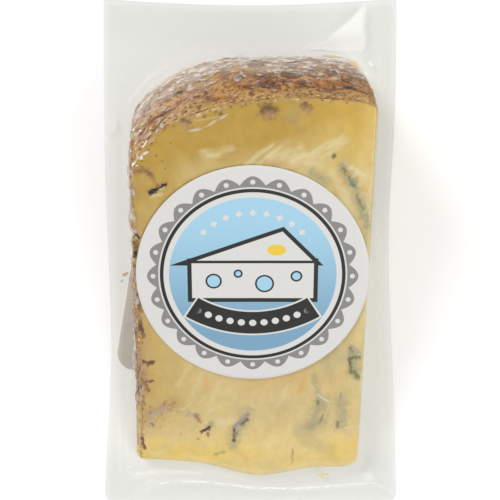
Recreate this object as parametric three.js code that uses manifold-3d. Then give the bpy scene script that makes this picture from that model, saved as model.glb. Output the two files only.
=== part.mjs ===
// A wedge of rinded blue cheese, vacuum-packed in a clear flat pouch and lying on its back cut face.
// Millimetres, +Z up. The origin is on the table, under the middle of the pouch. +Y points to the rim end
// of the wedge and -Y to its thin tip. X runs across the wheel, from its flat rind (-X) to the cut that
// halved it (+X). The pouch and the cheese it clings to are one solid: a clear bag has no separate inside.
import * as THREE from "three";
import { mergeVertices } from "three/addons/utils/BufferGeometryUtils.js";
import { ImprovedNoise } from "three/addons/math/ImprovedNoise.js";
import Module from "manifold-3d";

const { degToRad, lerp, smoothstep } = THREE.MathUtils;

// Driving dimensions.
const WEDGE_ANGLE = degToRad(22.75); // between the two cut faces
const FACE_TIP_Y = -51; // where the upper cut face would reach its tip
const FACE_TIP_Z = 6; // thickness of the blunt tip there
const TIP_Y = -50.8; // end of the tip at the sides
const TIP_TONGUE = { y: 2.9, x: 1.8, spread: 10 }; // how far the tip's middle is pressed out
const TIP_SLANT = 0.04; // slope of the tip's end in plan, which runs out towards the halving cut
const TIP_FLARE = 1.6; // the flat rind stands this much steeper at the tip
const TIP_FADE = 6; // how soon these three die away up the wedge
const NOSE_LENGTH = 7; // the upper face bends down over this length at the tip
const NOSE_LEAST = 0.4; // share of the thickness left at the very end
const RIM_BASE_Y = 46.2; // the rim's foot on the table
const RIM_TOP_Y = 31.7; // the rim's edge with the upper cut face
const RIM_BULGE = 2.2; // the wheel's roundness between the two
const LEFT_BASE_X = [-27.3, -28.7]; // flat rind at the table: tip end, rim end
const LEFT_TOP_X = [-24.6, -26.2]; // flat rind at the upper cut face: tip end, rim end
const RIGHT_X = [25.4, 26.9]; // halving cut: tip end, rim end
// The wheel's rounded edge between rim and flat rind, and the rim's corner at the halving cut, each at
// the table and at the upper cut face.
const RIM_CORNER = { base: { x: 28, y: 18.5 }, top: { x: 36, y: 16 } };
const CUT_CORNER = { base: { x: 12, y: 5.5 }, top: { x: 16, y: 2.6 } };
const TIP_CORNER = { flat: { x: 0.9, y: 1.2 }, cut: { x: 5, y: 2.6 } }; // the tip's, at flat rind and cut
const CUT_EDGE = { drop: 0.9, share: 0.04 }; // pressed-down sides of the upper cut face
const CRAG_DEPTH = 0.75; // relief of the rind
const CRAG_SIZE = { along: 9, across: 4.5 }; // the rind's ridges are longer along the rim
const RIND_EDGE = 0.03; // share of the cut faces that its relief still reaches
const SMOOTH_FOOT = [0.05, 0.3]; // the relief fades in over this share of the height
const SMOOTH_TIP = [0.02, 0.2]; // and over this share of the length

const POUCH_TOP_Y = 60;
const POUCH_BOTTOM_Y = -60.5;
const POUCH_TOP_SAG = 1.5; // the top edge dips between its corners
const SAG_FADE = 20; // how soon that dies away down the pouch
const POUCH_HALF_WIDTH = 35;
const LEFT_WAIST = { depth: 1.8, y: -24, above: 34, below: 25 };
const RIGHT_WAIST = { depth: 1.8, y: 2, above: 24, below: 36 };
const POUCH_CORNER = { x: 2.5, y: 3 };
const FILM_SHEET = 0.8; // both films of the flange, as one sheet
const FLANGE_LIFT = 0.9; // the flange's underside over the table
const LIFT_SHARE = 0.4; // it rises to that over this share of the flange's width
const FLANGE_WAVE = 0.6;
const WAVE_SIZE = 26;
const TENT = { reach: 2.8, height: 1.6 }; // the film leaves the cheese just above its foot
const SEAL_RIDGE = { y: -56, bow: 1.2, height: 0.9, spread: 1.6 }; // stiff ridge below the tip

const LABEL_THICKNESS = 0.3;
const LABEL_GAP = 0.3;
const FRONT_LABEL = { radius: 25.6, x: 0.6, y: -5.6 };
const BACK_LABEL = { width: 50, height: 45, corner: 4, x: -4.2, y: -9.8, turn: degToRad(-9) };

const FACE_STEPS = { x: 24, y: 36 }; // faces across and along the cheese and the pouch
const WALL_STEPS = 10;
const FLANGE_STEPS = 6;
const CROWDING = 0.6; // how much smaller the faces get towards the sides
const DISC_STEPS = 64;
const CORNER_STEPS = 6;
const [RIM_SEED, FLAT_SEED, WAVE_SEED] = [1.3, 3.3, 5.3]; // layers of the noise that shape these
const SMALLEST_FACE = 0.002; // slivers that the cut leaves are welded shut up to this

const wasm = await Module();
wasm.setup();
const noise = new ImprovedNoise();

// Height of the upper cut face over the table.
function faceHeight(y) {
  return FACE_TIP_Z + (y - FACE_TIP_Y) * Math.tan(WEDGE_ANGLE);
}

// A number from 0 to 1 with its steps closer together at both ends.
function crowded(t) {
  return lerp(t, (1 - Math.cos(Math.PI * t)) / 2, CROWDING);
}

// 1 at centre, falling away smoothly over spread.
function bell(value, centre, spread) {
  return Math.exp(-(((value - centre) / spread) ** 2));
}

// Turns the square corner of a plan into a quarter ellipse. The corner is at (x, y) and size reaches
// from it into the plan along both sides; points outside that square stay.
function roundCorner(point, x, y, size) {
  const inwardX = Math.sign(-x);
  const inwardY = Math.sign(-y);
  const s = 1 - ((point.x - x) * inwardX) / size.x;
  const t = 1 - ((point.y - y) * inwardY) / size.y;
  if (s <= 0 || t <= 0) return;
  point.x += (s - s * Math.sqrt(1 - (t * t) / 2)) * size.x * inwardX;
  point.y += (t - t * Math.sqrt(1 - (s * s) / 2)) * size.y * inwardY;
}

// Size of a corner w of the way up from the table to the upper cut face.
function cornerSize({ base, top }, w) {
  return { x: lerp(base.x, top.x, w), y: lerp(base.y, top.y, w) };
}

// How far the tip reaches out at x beyond its left side.
function tongue(x) {
  return TIP_TONGUE.y * bell(x, TIP_TONGUE.x, TIP_TONGUE.spread) + TIP_SLANT * x;
}

// Place in plan of a wedge point: u from the flat rind to the halving cut, v from tip to rim and w from
// the lower to the upper cut face, each 0 to 1.
function wedgePlan(u, v, w) {
  const atTip = (1 - v) ** TIP_FADE;
  const left = lerp(lerp(...LEFT_BASE_X, v), lerp(...LEFT_TOP_X, v) - TIP_FLARE * atTip, w);
  const right = lerp(...RIGHT_X, v);
  const rim = lerp(RIM_BASE_Y, RIM_TOP_Y, w) + RIM_BULGE * 4 * w * (1 - w);
  const point = new THREE.Vector2(lerp(left, right, u), lerp(TIP_Y, rim, v));
  roundCorner(point, left, rim, cornerSize(RIM_CORNER, w));
  roundCorner(point, right, rim, cornerSize(CUT_CORNER, w));
  roundCorner(point, left, TIP_Y, TIP_CORNER.flat);
  roundCorner(point, right, TIP_Y, TIP_CORNER.cut);
  point.y -= tongue(point.x) * atTip;
  return point;
}

// Relief of the rind at a distance along its ridges and across them.
function crag(along, across, seed) {
  const a = along / CRAG_SIZE.along;
  const b = across / CRAG_SIZE.across;
  return CRAG_DEPTH * (noise.noise(a, b, seed) + 0.5 * noise.noise(2 * a, 2 * b, -seed));
}

// Adds the film's tent to a point of the wedge's walls: it spreads out from the cheese just above its foot.
function spreadFoot(point, u, v) {
  const flare = 2 * TENT.reach * Math.exp(-point.z / TENT.height);
  point.x += flare * (u - 0.5);
  point.y += flare * (v - 0.5);
  return point;
}

// A point of the film over the cheese, w of the way up from the flange to the upper cut face.
function wedgePoint(u, v, w) {
  const plan = wedgePlan(u, v, w);
  const top = wedgePlan(u, v, 1);
  const nose = Math.min((top.y - TIP_Y + tongue(top.x)) / NOSE_LENGTH, 1);
  const rounded = lerp(Math.sqrt(Math.max(1 - (1 - nose) ** 2, 0)), 1, NOSE_LEAST);
  const edge = smoothstep(Math.abs(u - 0.5), 0.5 - CUT_EDGE.share, 0.5);
  const height = (faceHeight(top.y) - CUT_EDGE.drop * edge) * rounded;
  const point = new THREE.Vector3(plan.x, plan.y, lerp(FILM_SHEET, height, w));
  const aboveFoot = smoothstep(w, ...SMOOTH_FOOT);
  const rimShare = smoothstep(v, 1 - RIND_EDGE, 1) * aboveFoot;
  const flatShare = smoothstep(1 - u, 1 - RIND_EDGE, 1) * smoothstep(v, ...SMOOTH_TIP) * aboveFoot;
  const rimCrag = crag(plan.x, point.z, RIM_SEED) * rimShare;
  point.y += rimCrag * Math.cos(WEDGE_ANGLE);
  point.z += rimCrag * Math.sin(WEDGE_ANGLE) * w;
  point.x -= crag(plan.y, point.z, FLAT_SEED) * flatShare;
  return spreadFoot(point, u, v);
}

// Height of the flange's underside away from the cheese: gentle waves and the stiff ridge.
function flangeHeight(x, y) {
  const wave = FLANGE_WAVE * (1 + noise.noise(x / WAVE_SIZE, y / WAVE_SIZE, WAVE_SEED));
  const ridgeY = SEAL_RIDGE.y - SEAL_RIDGE.bow * bell(x, 0, POUCH_HALF_WIDTH / 2);
  const ridge = SEAL_RIDGE.height * bell(y, ridgeY, SEAL_RIDGE.spread);
  return FLANGE_LIFT + wave + ridge;
}

// How far a side of the pouch is drawn in at y.
function drawnIn(y, waist) {
  return waist.depth * bell(y, waist.y, y > waist.y ? waist.above : waist.below);
}

// The pouch's outline in plan, at the same u and v as the wedge's.
function pouchPlan(u, v) {
  const y = lerp(POUCH_BOTTOM_Y, POUCH_TOP_Y, v);
  const left = -POUCH_HALF_WIDTH + drawnIn(y, LEFT_WAIST);
  const right = POUCH_HALF_WIDTH - drawnIn(y, RIGHT_WAIST);
  const plan = new THREE.Vector2(lerp(left, right, u), y);
  roundCorner(plan, left, POUCH_BOTTOM_Y, POUCH_CORNER);
  roundCorner(plan, right, POUCH_BOTTOM_Y, POUCH_CORNER);
  plan.y -= POUCH_TOP_SAG * Math.sin(Math.PI * u) * v ** SAG_FADE;
  return plan;
}

// A point of the flange, outward of the way from the cheese's foot to the pouch's edge. Its underside
// leaves the table next to the foot, and thickness lifts the point to the upper film.
function flangePoint(u, v, outward, thickness) {
  const foot = wedgePoint(u, v, 0);
  const point = new THREE.Vector3(...pouchPlan(u, v), 0).sub(foot).multiplyScalar(outward).add(foot);
  point.z = flangeHeight(point.x, point.y) * smoothstep(outward, 0, LIFT_SHARE) + thickness;
  return point;
}

// A point of the pack's skin. Level 0 is the flat back; the next levels go out along the flange's
// underside, round its edge and in over its top, and the last ones up to the upper cut face.
function skinPoint(u, v, level) {
  const edgeLevel = FLANGE_STEPS + 0.5;
  const footLevel = 2 * edgeLevel;
  if (level > footLevel) return wedgePoint(u, v, (level - footLevel) / WALL_STEPS);
  const outward = Math.min(level, footLevel - level) / FLANGE_STEPS;
  return flangePoint(u, v, outward, level > edgeLevel ? FILM_SHEET : 0);
}

// The pack as a box of many small faces, each of its points moved to its place on the skin.
function packSkin() {
  const levels = 2 * FLANGE_STEPS + 1 + WALL_STEPS;
  const box = new THREE.BoxGeometry(1, 1, levels, FACE_STEPS.x, FACE_STEPS.y, levels);
  box.deleteAttribute("normal");
  box.deleteAttribute("uv");
  const skin = mergeVertices(box);
  const positions = skin.attributes.position;
  for (let i = 0; i < positions.count; i++) {
    const u = crowded(positions.getX(i) + 0.5);
    const v = crowded(positions.getY(i) + 0.5);
    const point = skinPoint(u, v, Math.round(positions.getZ(i) + levels / 2));
    positions.setXYZ(i, ...point);
  }
  return skin;
}

function solidOf(geometry) {
  const plain = geometry.clone();
  plain.deleteAttribute("normal");
  plain.deleteAttribute("uv");
  const merged = mergeVertices(plain);
  const vertProperties = new Float32Array(merged.attributes.position.array);
  const triVerts = new Uint32Array(merged.index.array);
  return new wasm.Manifold(new wasm.Mesh({ numProp: 3, vertProperties, triVerts }));
}

function geometryOf(solid) {
  const mesh = solid.getMesh();
  const geometry = new THREE.BufferGeometry();
  geometry.setAttribute("position", new THREE.BufferAttribute(mesh.vertProperties, 3));
  geometry.setIndex(new THREE.BufferAttribute(mesh.triVerts, 1));
  geometry.computeVertexNormals();
  return geometry;
}

// The back label's outline grown by margin, as a plate of the given thickness standing on the table.
function backLabelPlate(margin, thickness) {
  const halfWidth = BACK_LABEL.width / 2 + margin;
  const halfHeight = BACK_LABEL.height / 2 + margin;
  const radius = BACK_LABEL.corner + margin;
  const outline = new THREE.Shape();
  outline.absarc(halfWidth - radius, halfHeight - radius, radius, 0, Math.PI / 2);
  outline.absarc(radius - halfWidth, halfHeight - radius, radius, Math.PI / 2, Math.PI);
  outline.absarc(radius - halfWidth, radius - halfHeight, radius, Math.PI, 1.5 * Math.PI);
  outline.absarc(halfWidth - radius, radius - halfHeight, radius, 1.5 * Math.PI, 2 * Math.PI);
  const options = { depth: thickness, bevelEnabled: false, curveSegments: CORNER_STEPS };
  const plate = new THREE.ExtrudeGeometry(outline, options);
  return plate.rotateZ(BACK_LABEL.turn).translate(BACK_LABEL.x, BACK_LABEL.y, 0);
}

// The pouch with the cheese in it, and the shallow bed that the back label has pressed into its back.
function sealedPouch() {
  const bedDepth = LABEL_THICKNESS + LABEL_GAP;
  const bed = backLabelPlate(LABEL_GAP, 2 * bedDepth).translate(0, 0, -bedDepth);
  const pouch = solidOf(packSkin()).subtract(solidOf(bed)).simplify(SMALLEST_FACE);
  return named("sealed_pouch", geometryOf(pouch), { color: 0xd9c389, roughness: 0.2, metalness: 0 });
}

// Round paper label on the film over the upper cut face, in the plane of that face.
function frontLabel() {
  const disc = new THREE.CylinderGeometry(
    FRONT_LABEL.radius,
    FRONT_LABEL.radius,
    LABEL_THICKNESS,
    DISC_STEPS,
  );
  disc.rotateX(Math.PI / 2).translate(0, 0, LABEL_GAP + LABEL_THICKNESS / 2);
  const label = named("front_label", disc, { color: 0xdbdad6, roughness: 0.45, metalness: 0 });
  label.position.set(FRONT_LABEL.x, FRONT_LABEL.y, faceHeight(FRONT_LABEL.y));
  label.rotation.x = WEDGE_ANGLE;
  return label;
}

// Rounded rectangular paper label under the pouch, turned a little, so that one corner looks out.
function backLabel() {
  const plate = backLabelPlate(0, LABEL_THICKNESS);
  return named("back_label", plate, { color: 0xd4cec8, roughness: 0.6, metalness: 0 });
}

function named(name, geometry, finish) {
  const mesh = new THREE.Mesh(geometry, new THREE.MeshStandardMaterial(finish));
  mesh.name = name;
  return mesh;
}

const pack = new THREE.Group();
pack.add(sealedPouch(), frontLabel(), backLabel());
export default pack;
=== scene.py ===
"""Looks of a vacuum-packed wedge of blue cheese, lying on its back cut face.

The sizes are in millimetres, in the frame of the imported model: +Y to the rim end of the wedge, -Y to its
thin tip, -X to the flat rind, +X to the cut that halved the wheel. Meshes are made in metres.
"""
import math

import bpy
import numpy as np
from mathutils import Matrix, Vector


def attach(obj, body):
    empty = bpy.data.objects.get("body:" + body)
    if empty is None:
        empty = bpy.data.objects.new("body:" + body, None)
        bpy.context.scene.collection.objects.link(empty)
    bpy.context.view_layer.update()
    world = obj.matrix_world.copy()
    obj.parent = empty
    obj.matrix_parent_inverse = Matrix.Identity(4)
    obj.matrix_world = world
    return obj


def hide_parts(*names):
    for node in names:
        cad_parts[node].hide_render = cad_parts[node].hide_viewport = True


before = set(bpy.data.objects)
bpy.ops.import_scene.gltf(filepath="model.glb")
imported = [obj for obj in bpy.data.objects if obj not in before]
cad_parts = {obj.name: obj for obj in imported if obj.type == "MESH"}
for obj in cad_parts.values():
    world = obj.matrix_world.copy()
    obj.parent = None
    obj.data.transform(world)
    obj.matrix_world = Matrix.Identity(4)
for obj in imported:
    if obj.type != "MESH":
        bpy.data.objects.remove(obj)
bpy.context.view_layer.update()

METRES = 0.001
SEED = 11

# Sizes of the solids, as in the part's source.
WEDGE_ANGLE = math.radians(22.75)
FACE_TIP_Y = -51.0
FACE_TIP_Z = 6.0
TIP_Y = -50.8
TONGUE_Y, TONGUE_X, TONGUE_SPREAD = 2.9, 1.8, 10.0
TIP_SLANT, TIP_FLARE, TIP_FADE = 0.04, 1.6, 6
NOSE_LENGTH = 7.0
NOSE_LEAST = 0.4
RIM_BASE_Y = 46.2
RIM_TOP_Y = 31.7
RIM_BULGE = 2.2
LEFT_BASE_X = (-27.3, -28.7)
LEFT_TOP_X = (-24.6, -26.2)
RIGHT_X = (25.4, 26.9)
RIM_CORNER_BASE, RIM_CORNER_TOP = (28.0, 18.5), (36.0, 16.0)
CUT_CORNER_BASE, CUT_CORNER_TOP = (12.0, 5.5), (16.0, 2.6)
TIP_CORNER_FLAT, TIP_CORNER_CUT = (0.9, 1.2), (5.0, 2.6)
EDGE_DROP, EDGE_SHARE = 0.9, 0.04
CUT_EDGE_SHARE = 0.012  # the same at the halving cut, whose edge is sharper than the solid's
POUCH_TOP_Y = 60.0
POUCH_BOTTOM_Y = -60.5
POUCH_TOP_SAG, SAG_FADE = 1.5, 20
POUCH_HALF_WIDTH = 35.0
WAIST_DEPTH = 1.8
LEFT_WAIST, RIGHT_WAIST = (-24.0, 34.0, 25.0), (2.0, 24.0, 36.0)  # y, and reach above and below it
POUCH_CORNER = (2.5, 3.0)
FLANGE_LIFT = 0.9
LIFT_SHARE = 0.4
TENT_REACH, TENT_HEIGHT = 2.8, 1.6
CROWDING = 0.6
LABEL_RADIUS = 25.6
LABEL_X, LABEL_Y = 0.6, -5.6
BACK_WIDTH, BACK_HEIGHT, BACK_CORNER = 50.0, 45.0, 4.0
BACK_X, BACK_Y, BACK_TURN = -4.2, -9.8, math.radians(-9)

# Sizes of what is finer than the solids.
CLING = 0.15  # the film lies this far off the cheese
FOOT_Z = 0.5  # underside of the cheese
BACK_FILM_Z = 0.36  # the back film under the cheese, over the back label
FILM_GAP = 0.25  # between the two films of the flange
RIND_THICKNESS, RIND_DEPTH = 0.45, 2.0  # of the rind at the upper cut face and below it
RIND_OVERLAP = 0.25  # hidden part of the rind that reaches into the paste
RIND_FIRST, RIND_LAST = 0.02, 0.955  # v where the rind starts on the flat side and ends on the halving cut
LUMP_SIZE = 5.0
LUMP_HEIGHT = 1.5
LUMP_MEAN = 0.33
FOLD_SOFTNESS = 0.10
RIND_FADE = 0.05  # share of the cut face over which the relief of its rind edge dies away
WEDGE_WIDTH, WEDGE_LENGTH = 52.0, 82.0  # about the upper cut face's, to turn distances into shares

# The photograph's view: straight down, the pouch as high as the picture.
CAMERA_HEIGHT = 288.5
CAMERA_LENS = 86.4
CAMERA_SENSOR = 36.0


# ---------------------------------------------------------------- numbers

def lerp(a, b, t):
    return a + (b - a) * t


def smoothstep(value, low, high):
    t = np.clip((value - low) / (high - low), 0.0, 1.0)
    return t * t * (3 - 2 * t)


def bell(value, centre, spread):
    """1 at centre, falling away smoothly over spread."""
    return np.exp(-(((value - centre) / spread) ** 2))


def crowded(count, crowding=CROWDING):
    """count + 1 numbers from 0 to 1, closer together at both ends."""
    t = np.linspace(0, 1, count + 1)
    return lerp(t, (1 - np.cos(np.pi * t)) / 2, crowding)


def stacked(*columns):
    return np.stack(np.broadcast_arrays(*columns), axis=-1).astype(float)


def normalized(vectors):
    length = np.linalg.norm(vectors, axis=-1, keepdims=True)
    return vectors / np.maximum(length, 1e-12)


def turned(x, y, angle):
    """A place turned anticlockwise about the origin."""
    return x * math.cos(angle) - y * math.sin(angle), x * math.sin(angle) + y * math.cos(angle)


LATTICE = 256
_random = np.random.default_rng(SEED)
_shuffle = _random.permutation(LATTICE)
_slopes = normalized(_random.normal(size=(LATTICE, 3)))


def noise(points):
    """Gradient noise of about -0.7 to 0.7 whose swellings are about one unit apart.

    A number that is added to the points only picks another part of the noise.
    """
    cell = np.floor(points).astype(int)
    local = points - cell
    ease = local**3 * (local * (local * 6 - 15) + 10)
    total = np.zeros(points.shape[:-1])
    for corner in np.ndindex(2, 2, 2):
        at = (cell + corner) % LATTICE
        pick = _shuffle[(_shuffle[(_shuffle[at[..., 0]] + at[..., 1]) % LATTICE] + at[..., 2]) % LATTICE]
        slope = np.sum(_slopes[pick] * (local - corner), axis=-1)
        weight = np.prod(np.where(corner, ease, 1 - ease), axis=-1)
        total += weight * slope
    return 1.4 * total


def layered_noise(points, size, layers=3, seed=0.0):
    """Noise with swellings of the given size and finer ones on it, each half as large and as high."""
    total = 0.0
    for layer in range(layers):
        total = total + noise(points * (2**layer / size) + seed + 7.7 * layer) * 0.5**layer
    return total


def path_distance(x, y, path):
    """Distance from (x, y) to the nearest point of a path of straight pieces, or to its one point."""
    if len(path) == 1:
        return np.hypot(x - path[0][0], y - path[0][1])
    nearest = np.inf
    for (x0, y0), (x1, y1) in zip(path, path[1:]):
        run_x, run_y = x1 - x0, y1 - y0
        t = np.clip(((x - x0) * run_x + (y - y0) * run_y) / (run_x**2 + run_y**2), 0, 1)
        nearest = np.minimum(nearest, np.hypot(x - x0 - t * run_x, y - y0 - t * run_y))
    return nearest


def colour(red, green, blue):
    """A display colour of 0 to 255 a channel, as the linear one that shaders take."""
    def linear(value):
        value /= 255
        return value / 12.92 if value <= 0.04045 else ((value + 0.055) / 1.055) ** 2.4
    return np.array((linear(red), linear(green), linear(blue), 1.0))


def painted(tones, share, tone):
    """Colours by vertex with another colour laid over them, share of it showing."""
    return lerp(tones, tone, np.clip(share, 0, 1)[..., None])


def coated(tones, coats):
    """Colours by vertex, or one colour, with coats of (share, colour) laid over them in turn."""
    for share, tone in coats:
        tones = painted(tones, share, tone)
    return tones


# ---------------------------------------------------------------- form of the wedge and the pouch

def face_height(y):
    """Height of the upper cut face over the table."""
    return FACE_TIP_Z + (y - FACE_TIP_Y) * math.tan(WEDGE_ANGLE)


def round_corner(x, y, corner_x, corner_y, size):
    """Turns the square corner of a plan into a quarter ellipse of the given size along both sides."""
    inward_x, inward_y = -np.sign(corner_x), -np.sign(corner_y)
    s = np.clip(1 - (x - corner_x) * inward_x / size[0], 0, 1)
    t = np.clip(1 - (y - corner_y) * inward_y / size[1], 0, 1)
    moved_x = (s - s * np.sqrt(1 - t * t / 2)) * size[0] * inward_x
    moved_y = (t - t * np.sqrt(1 - s * s / 2)) * size[1] * inward_y
    return x + moved_x, y + moved_y


def corner_size(base, top, w):
    """Size of a corner w of the way up from the table to the upper cut face."""
    return lerp(base[0], top[0], w), lerp(base[1], top[1], w)


def tongue(x):
    """How far the tip reaches out at x beyond its left side."""
    return TONGUE_Y * bell(x, TONGUE_X, TONGUE_SPREAD) + TIP_SLANT * x


def wedge_plan(u, v, w):
    """Place in plan: u from flat rind to halving cut, v from tip to rim, w from lower to upper cut face."""
    at_tip = (1 - v) ** TIP_FADE
    left = lerp(lerp(*LEFT_BASE_X, v), lerp(*LEFT_TOP_X, v) - TIP_FLARE * at_tip, w)
    right = lerp(*RIGHT_X, v)
    rim = lerp(RIM_BASE_Y, RIM_TOP_Y, w) + RIM_BULGE * 4 * w * (1 - w)
    x, y = lerp(left, right, u), lerp(TIP_Y, rim, v)
    x, y = round_corner(x, y, left, rim, corner_size(RIM_CORNER_BASE, RIM_CORNER_TOP, w))
    x, y = round_corner(x, y, right, rim, corner_size(CUT_CORNER_BASE, CUT_CORNER_TOP, w))
    x, y = round_corner(x, y, left, TIP_Y, TIP_CORNER_FLAT)
    x, y = round_corner(x, y, right, TIP_Y, TIP_CORNER_CUT)
    return x, y - tongue(x) * at_tip


def wedge_point(u, v, w):
    """A point of the wedge without its relief: the smooth skin that the film follows."""
    x, y = wedge_plan(u, v, w)
    top_x, top_y = wedge_plan(u, v, 1.0)
    nose = np.minimum((top_y - TIP_Y + tongue(top_x)) / NOSE_LENGTH, 1)
    rounded = lerp(np.sqrt(np.maximum(1 - (1 - nose) ** 2, 0)), 1, NOSE_LEAST)
    edge = smoothstep(-u, -EDGE_SHARE, 0) + smoothstep(u, 1 - CUT_EDGE_SHARE, 1)
    height = (face_height(top_y) - EDGE_DROP * edge) * rounded
    return stacked(x, y, lerp(FOOT_Z, height, w))


STEP = 1e-3  # of u, v and w, for slopes


def slope(u, v, w, du, dv, dw):
    """Direction in which the skin runs as u, v and w grow by that much, at (u, v, w)."""
    ahead = [np.clip(value + STEP * step, 0, 1) for value, step in ((u, du), (v, dv), (w, dw))]
    behind = [np.clip(value - STEP * step, 0, 1) for value, step in ((u, du), (v, dv), (w, dw))]
    return wedge_point(*ahead) - wedge_point(*behind)


def wall_normal(u, v, w, du, dv):
    """Outward normal of the wall whose upper edge runs along (du, dv), with the cheese on its right."""
    return normalized(np.cross(slope(u, v, w, 0, 0, 1), slope(u, v, w, du, dv, 0)))


def face_normal(u, v):
    return normalized(np.cross(slope(u, v, 1.0, 1, 0, 0), slope(u, v, 1.0, 0, 1, 0)))


def side_normal(u, v, w):
    """Outward normal of the nearest of the four walls, turning smoothly from one to the next."""
    one = np.ones(np.broadcast(u, v, w).shape)
    walls = [
        (u * WEDGE_WIDTH, wall_normal(0 * one, v * one, w * one, 0, 1)),
        ((1 - v) * WEDGE_LENGTH, wall_normal(u * one, one, w * one, 1, 0)),
        ((1 - u) * WEDGE_WIDTH, wall_normal(one, v * one, w * one, 0, -1)),
        (v * WEDGE_LENGTH, wall_normal(u * one, 0 * one, w * one, -1, 0)),
    ]
    return normalized(sum(np.exp(-np.asarray(distance))[..., None] * normal for distance, normal in walls))


def rind_share(u, v, w):
    """1 on the rim and the flat rind, fading to 0 a little way into the cut faces and at the tip.

    It falls to a half at the rim's upper edge, where the rind is calmer.
    """
    rim = smoothstep(v, 1 - RIND_FADE, 1) * (1 - 0.5 * smoothstep(w, 0.78, 0.95))
    flat = smoothstep(1 - u, 1 - RIND_FADE, 1) * smoothstep(v, RIND_FIRST, 0.25)
    foot = smoothstep(w, -0.02, 0.07)
    return np.maximum(rim, flat) * foot


def relief_direction(u, v, w):
    """Where the rind's relief pushes the skin: outward, and along the upper cut face at its edge."""
    outward, up = side_normal(u, v, w), face_normal(u, v)
    level = smoothstep(w, 0.8, 1.0) + 0 * np.asarray(u)
    rising = np.sum(outward * up, axis=-1) * level
    return outward - rising[..., None] * up


def lumps(points, softness=0.0):
    """The rind's swellings: 0 in the folds between them, about 1 on the highest."""
    bend = stacked(noise(points / 4 + 3.1), noise(points / 4 + 8.3), noise(points / 4 + 5.9))
    bent = points + 1.4 * bend
    coarse = noise(bent / LUMP_SIZE)
    fine = noise(bent / (0.45 * LUMP_SIZE) + 4.4)
    return np.sqrt(coarse**2 + softness**2) + 0.3 * np.sqrt(fine**2 + softness**2)


def lump_relief(points, softness=0.0):
    return LUMP_HEIGHT * (lumps(points, softness) - LUMP_MEAN)


# ---------------------------------------------------------------- meshes

def perimeter(us, vs):
    """u and v once round the grid's edge, clockwise from above, starting at the tip's left corner."""
    left = [(us[0], v) for v in vs[:-1]]
    rim = [(u, vs[-1]) for u in us[:-1]]
    right = [(us[-1], v) for v in vs[:0:-1]]
    tip = [(u, vs[0]) for u in us[:0:-1]]
    ring = np.array(left + rim + right + tip)
    return ring[:, 0], ring[:, 1]


def perimeter_indices(columns, rows):
    """Vertex numbers of a grid's edge in the same order. The grid has rows + 1 rows of columns + 1."""
    grid = np.arange((rows + 1) * (columns + 1)).reshape(rows + 1, columns + 1)
    return np.concatenate([grid[:-1, 0], grid[-1, :-1], grid[:0:-1, -1], grid[0, :0:-1]])


def grid_faces(grid):
    """Quads of a grid of vertex numbers, seen from the side where the columns run right and the rows up."""
    return np.stack([grid[:-1, :-1], grid[:-1, 1:], grid[1:, 1:], grid[1:, :-1]], axis=-1).reshape(-1, 4)


def band_faces(upper, lower):
    """Quads between two closed rings of vertex numbers."""
    return np.stack([upper, np.roll(upper, -1), np.roll(lower, -1), lower], axis=-1)


LAYER_KINDS = {1: ("FLOAT", "value"), 3: ("FLOAT_VECTOR", "vector"), 4: ("FLOAT_COLOR", "color")}


def mesh_object(name, points, faces, layers=None):
    """A smooth-shaded object from points in millimetres. Layers are numbers, vectors or colours."""
    mesh = bpy.data.meshes.new(name)
    mesh.from_pydata((points * METRES).tolist(), [], [list(face) for face in faces])
    mesh.polygons.foreach_set("use_smooth", np.ones(len(mesh.polygons), bool))
    for key, values in (layers or {}).items():
        kind, field = LAYER_KINDS[values.shape[-1] if values.ndim == 2 else 1]
        layer = mesh.attributes.new(key, kind, "POINT")
        layer.data.foreach_set(field, values.astype(np.float32).ravel())
    mesh.validate()
    mesh.update()
    return linked(name, mesh)


def linked(name, data):
    """A new object of that data, in the scene."""
    made = bpy.data.objects.new(name, data)
    bpy.context.scene.collection.objects.link(made)
    return made


def joined(name, sheets):
    """One mesh of several open sheets. A sheet is its points, the arrays of its faces, and its layers."""
    faces, start = [], 0
    for points, arrays, _ in sheets:
        for array in arrays:
            faces += (start + array).tolist()
        start += len(points)
    points = np.concatenate([sheet[0] for sheet in sheets])
    layers = {key: np.concatenate([sheet[2][key] for sheet in sheets]) for key in sheets[0][2]}
    return mesh_object(name, points, faces, layers)


def closed_skin(name, top, rings, bottom=None, layers=None):
    """A closed body: a top grid, rings round and down from its edge, and a bottom grid or a cap."""
    rows, columns = top.shape[0] - 1, top.shape[1] - 1
    points = [top.reshape(-1, 3), *rings]
    grid = np.arange(top.shape[0] * top.shape[1]).reshape(top.shape[:2])
    polygons = grid_faces(grid).tolist()
    ring = perimeter_indices(columns, rows)
    start = grid.size
    for _ in rings:
        following = np.arange(start, start + len(ring))
        polygons += band_faces(ring, following).tolist()
        ring, start = following, start + len(ring)
    if bottom is None:
        polygons.append(ring.tolist())
    else:
        points.append(bottom.reshape(-1, 3))
        polygons += band_faces(ring, perimeter_indices(columns, rows) + start).tolist()
        polygons += grid_faces(grid + start)[:, ::-1].tolist()
    return mesh_object(name, np.concatenate(points), polygons, layers)


# ---------------------------------------------------------------- cheese

PASTE_STEPS = (215, 345)
PASTE_LEVELS = 13

WAXY = colour(194, 157, 58)
CREAMY = colour(222, 198, 138)
GOLDEN = colour(230, 189, 62)
BUTTER = colour(247, 207, 84)
IVORY = colour(240, 218, 156)
TAN = colour(190, 154, 100)
MARK_TONES = {
    "brown": colour(118, 78, 48),
    "dark": colour(30, 28, 30),
    "red": colour(116, 58, 40),
    "lilac": colour(188, 170, 164),
    "green": colour(150, 153, 128),
    "olive": colour(116, 116, 66),
    "orange": colour(222, 172, 96),
    "tan": colour(186, 142, 102),
    "pale": colour(236, 222, 176),
}

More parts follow.
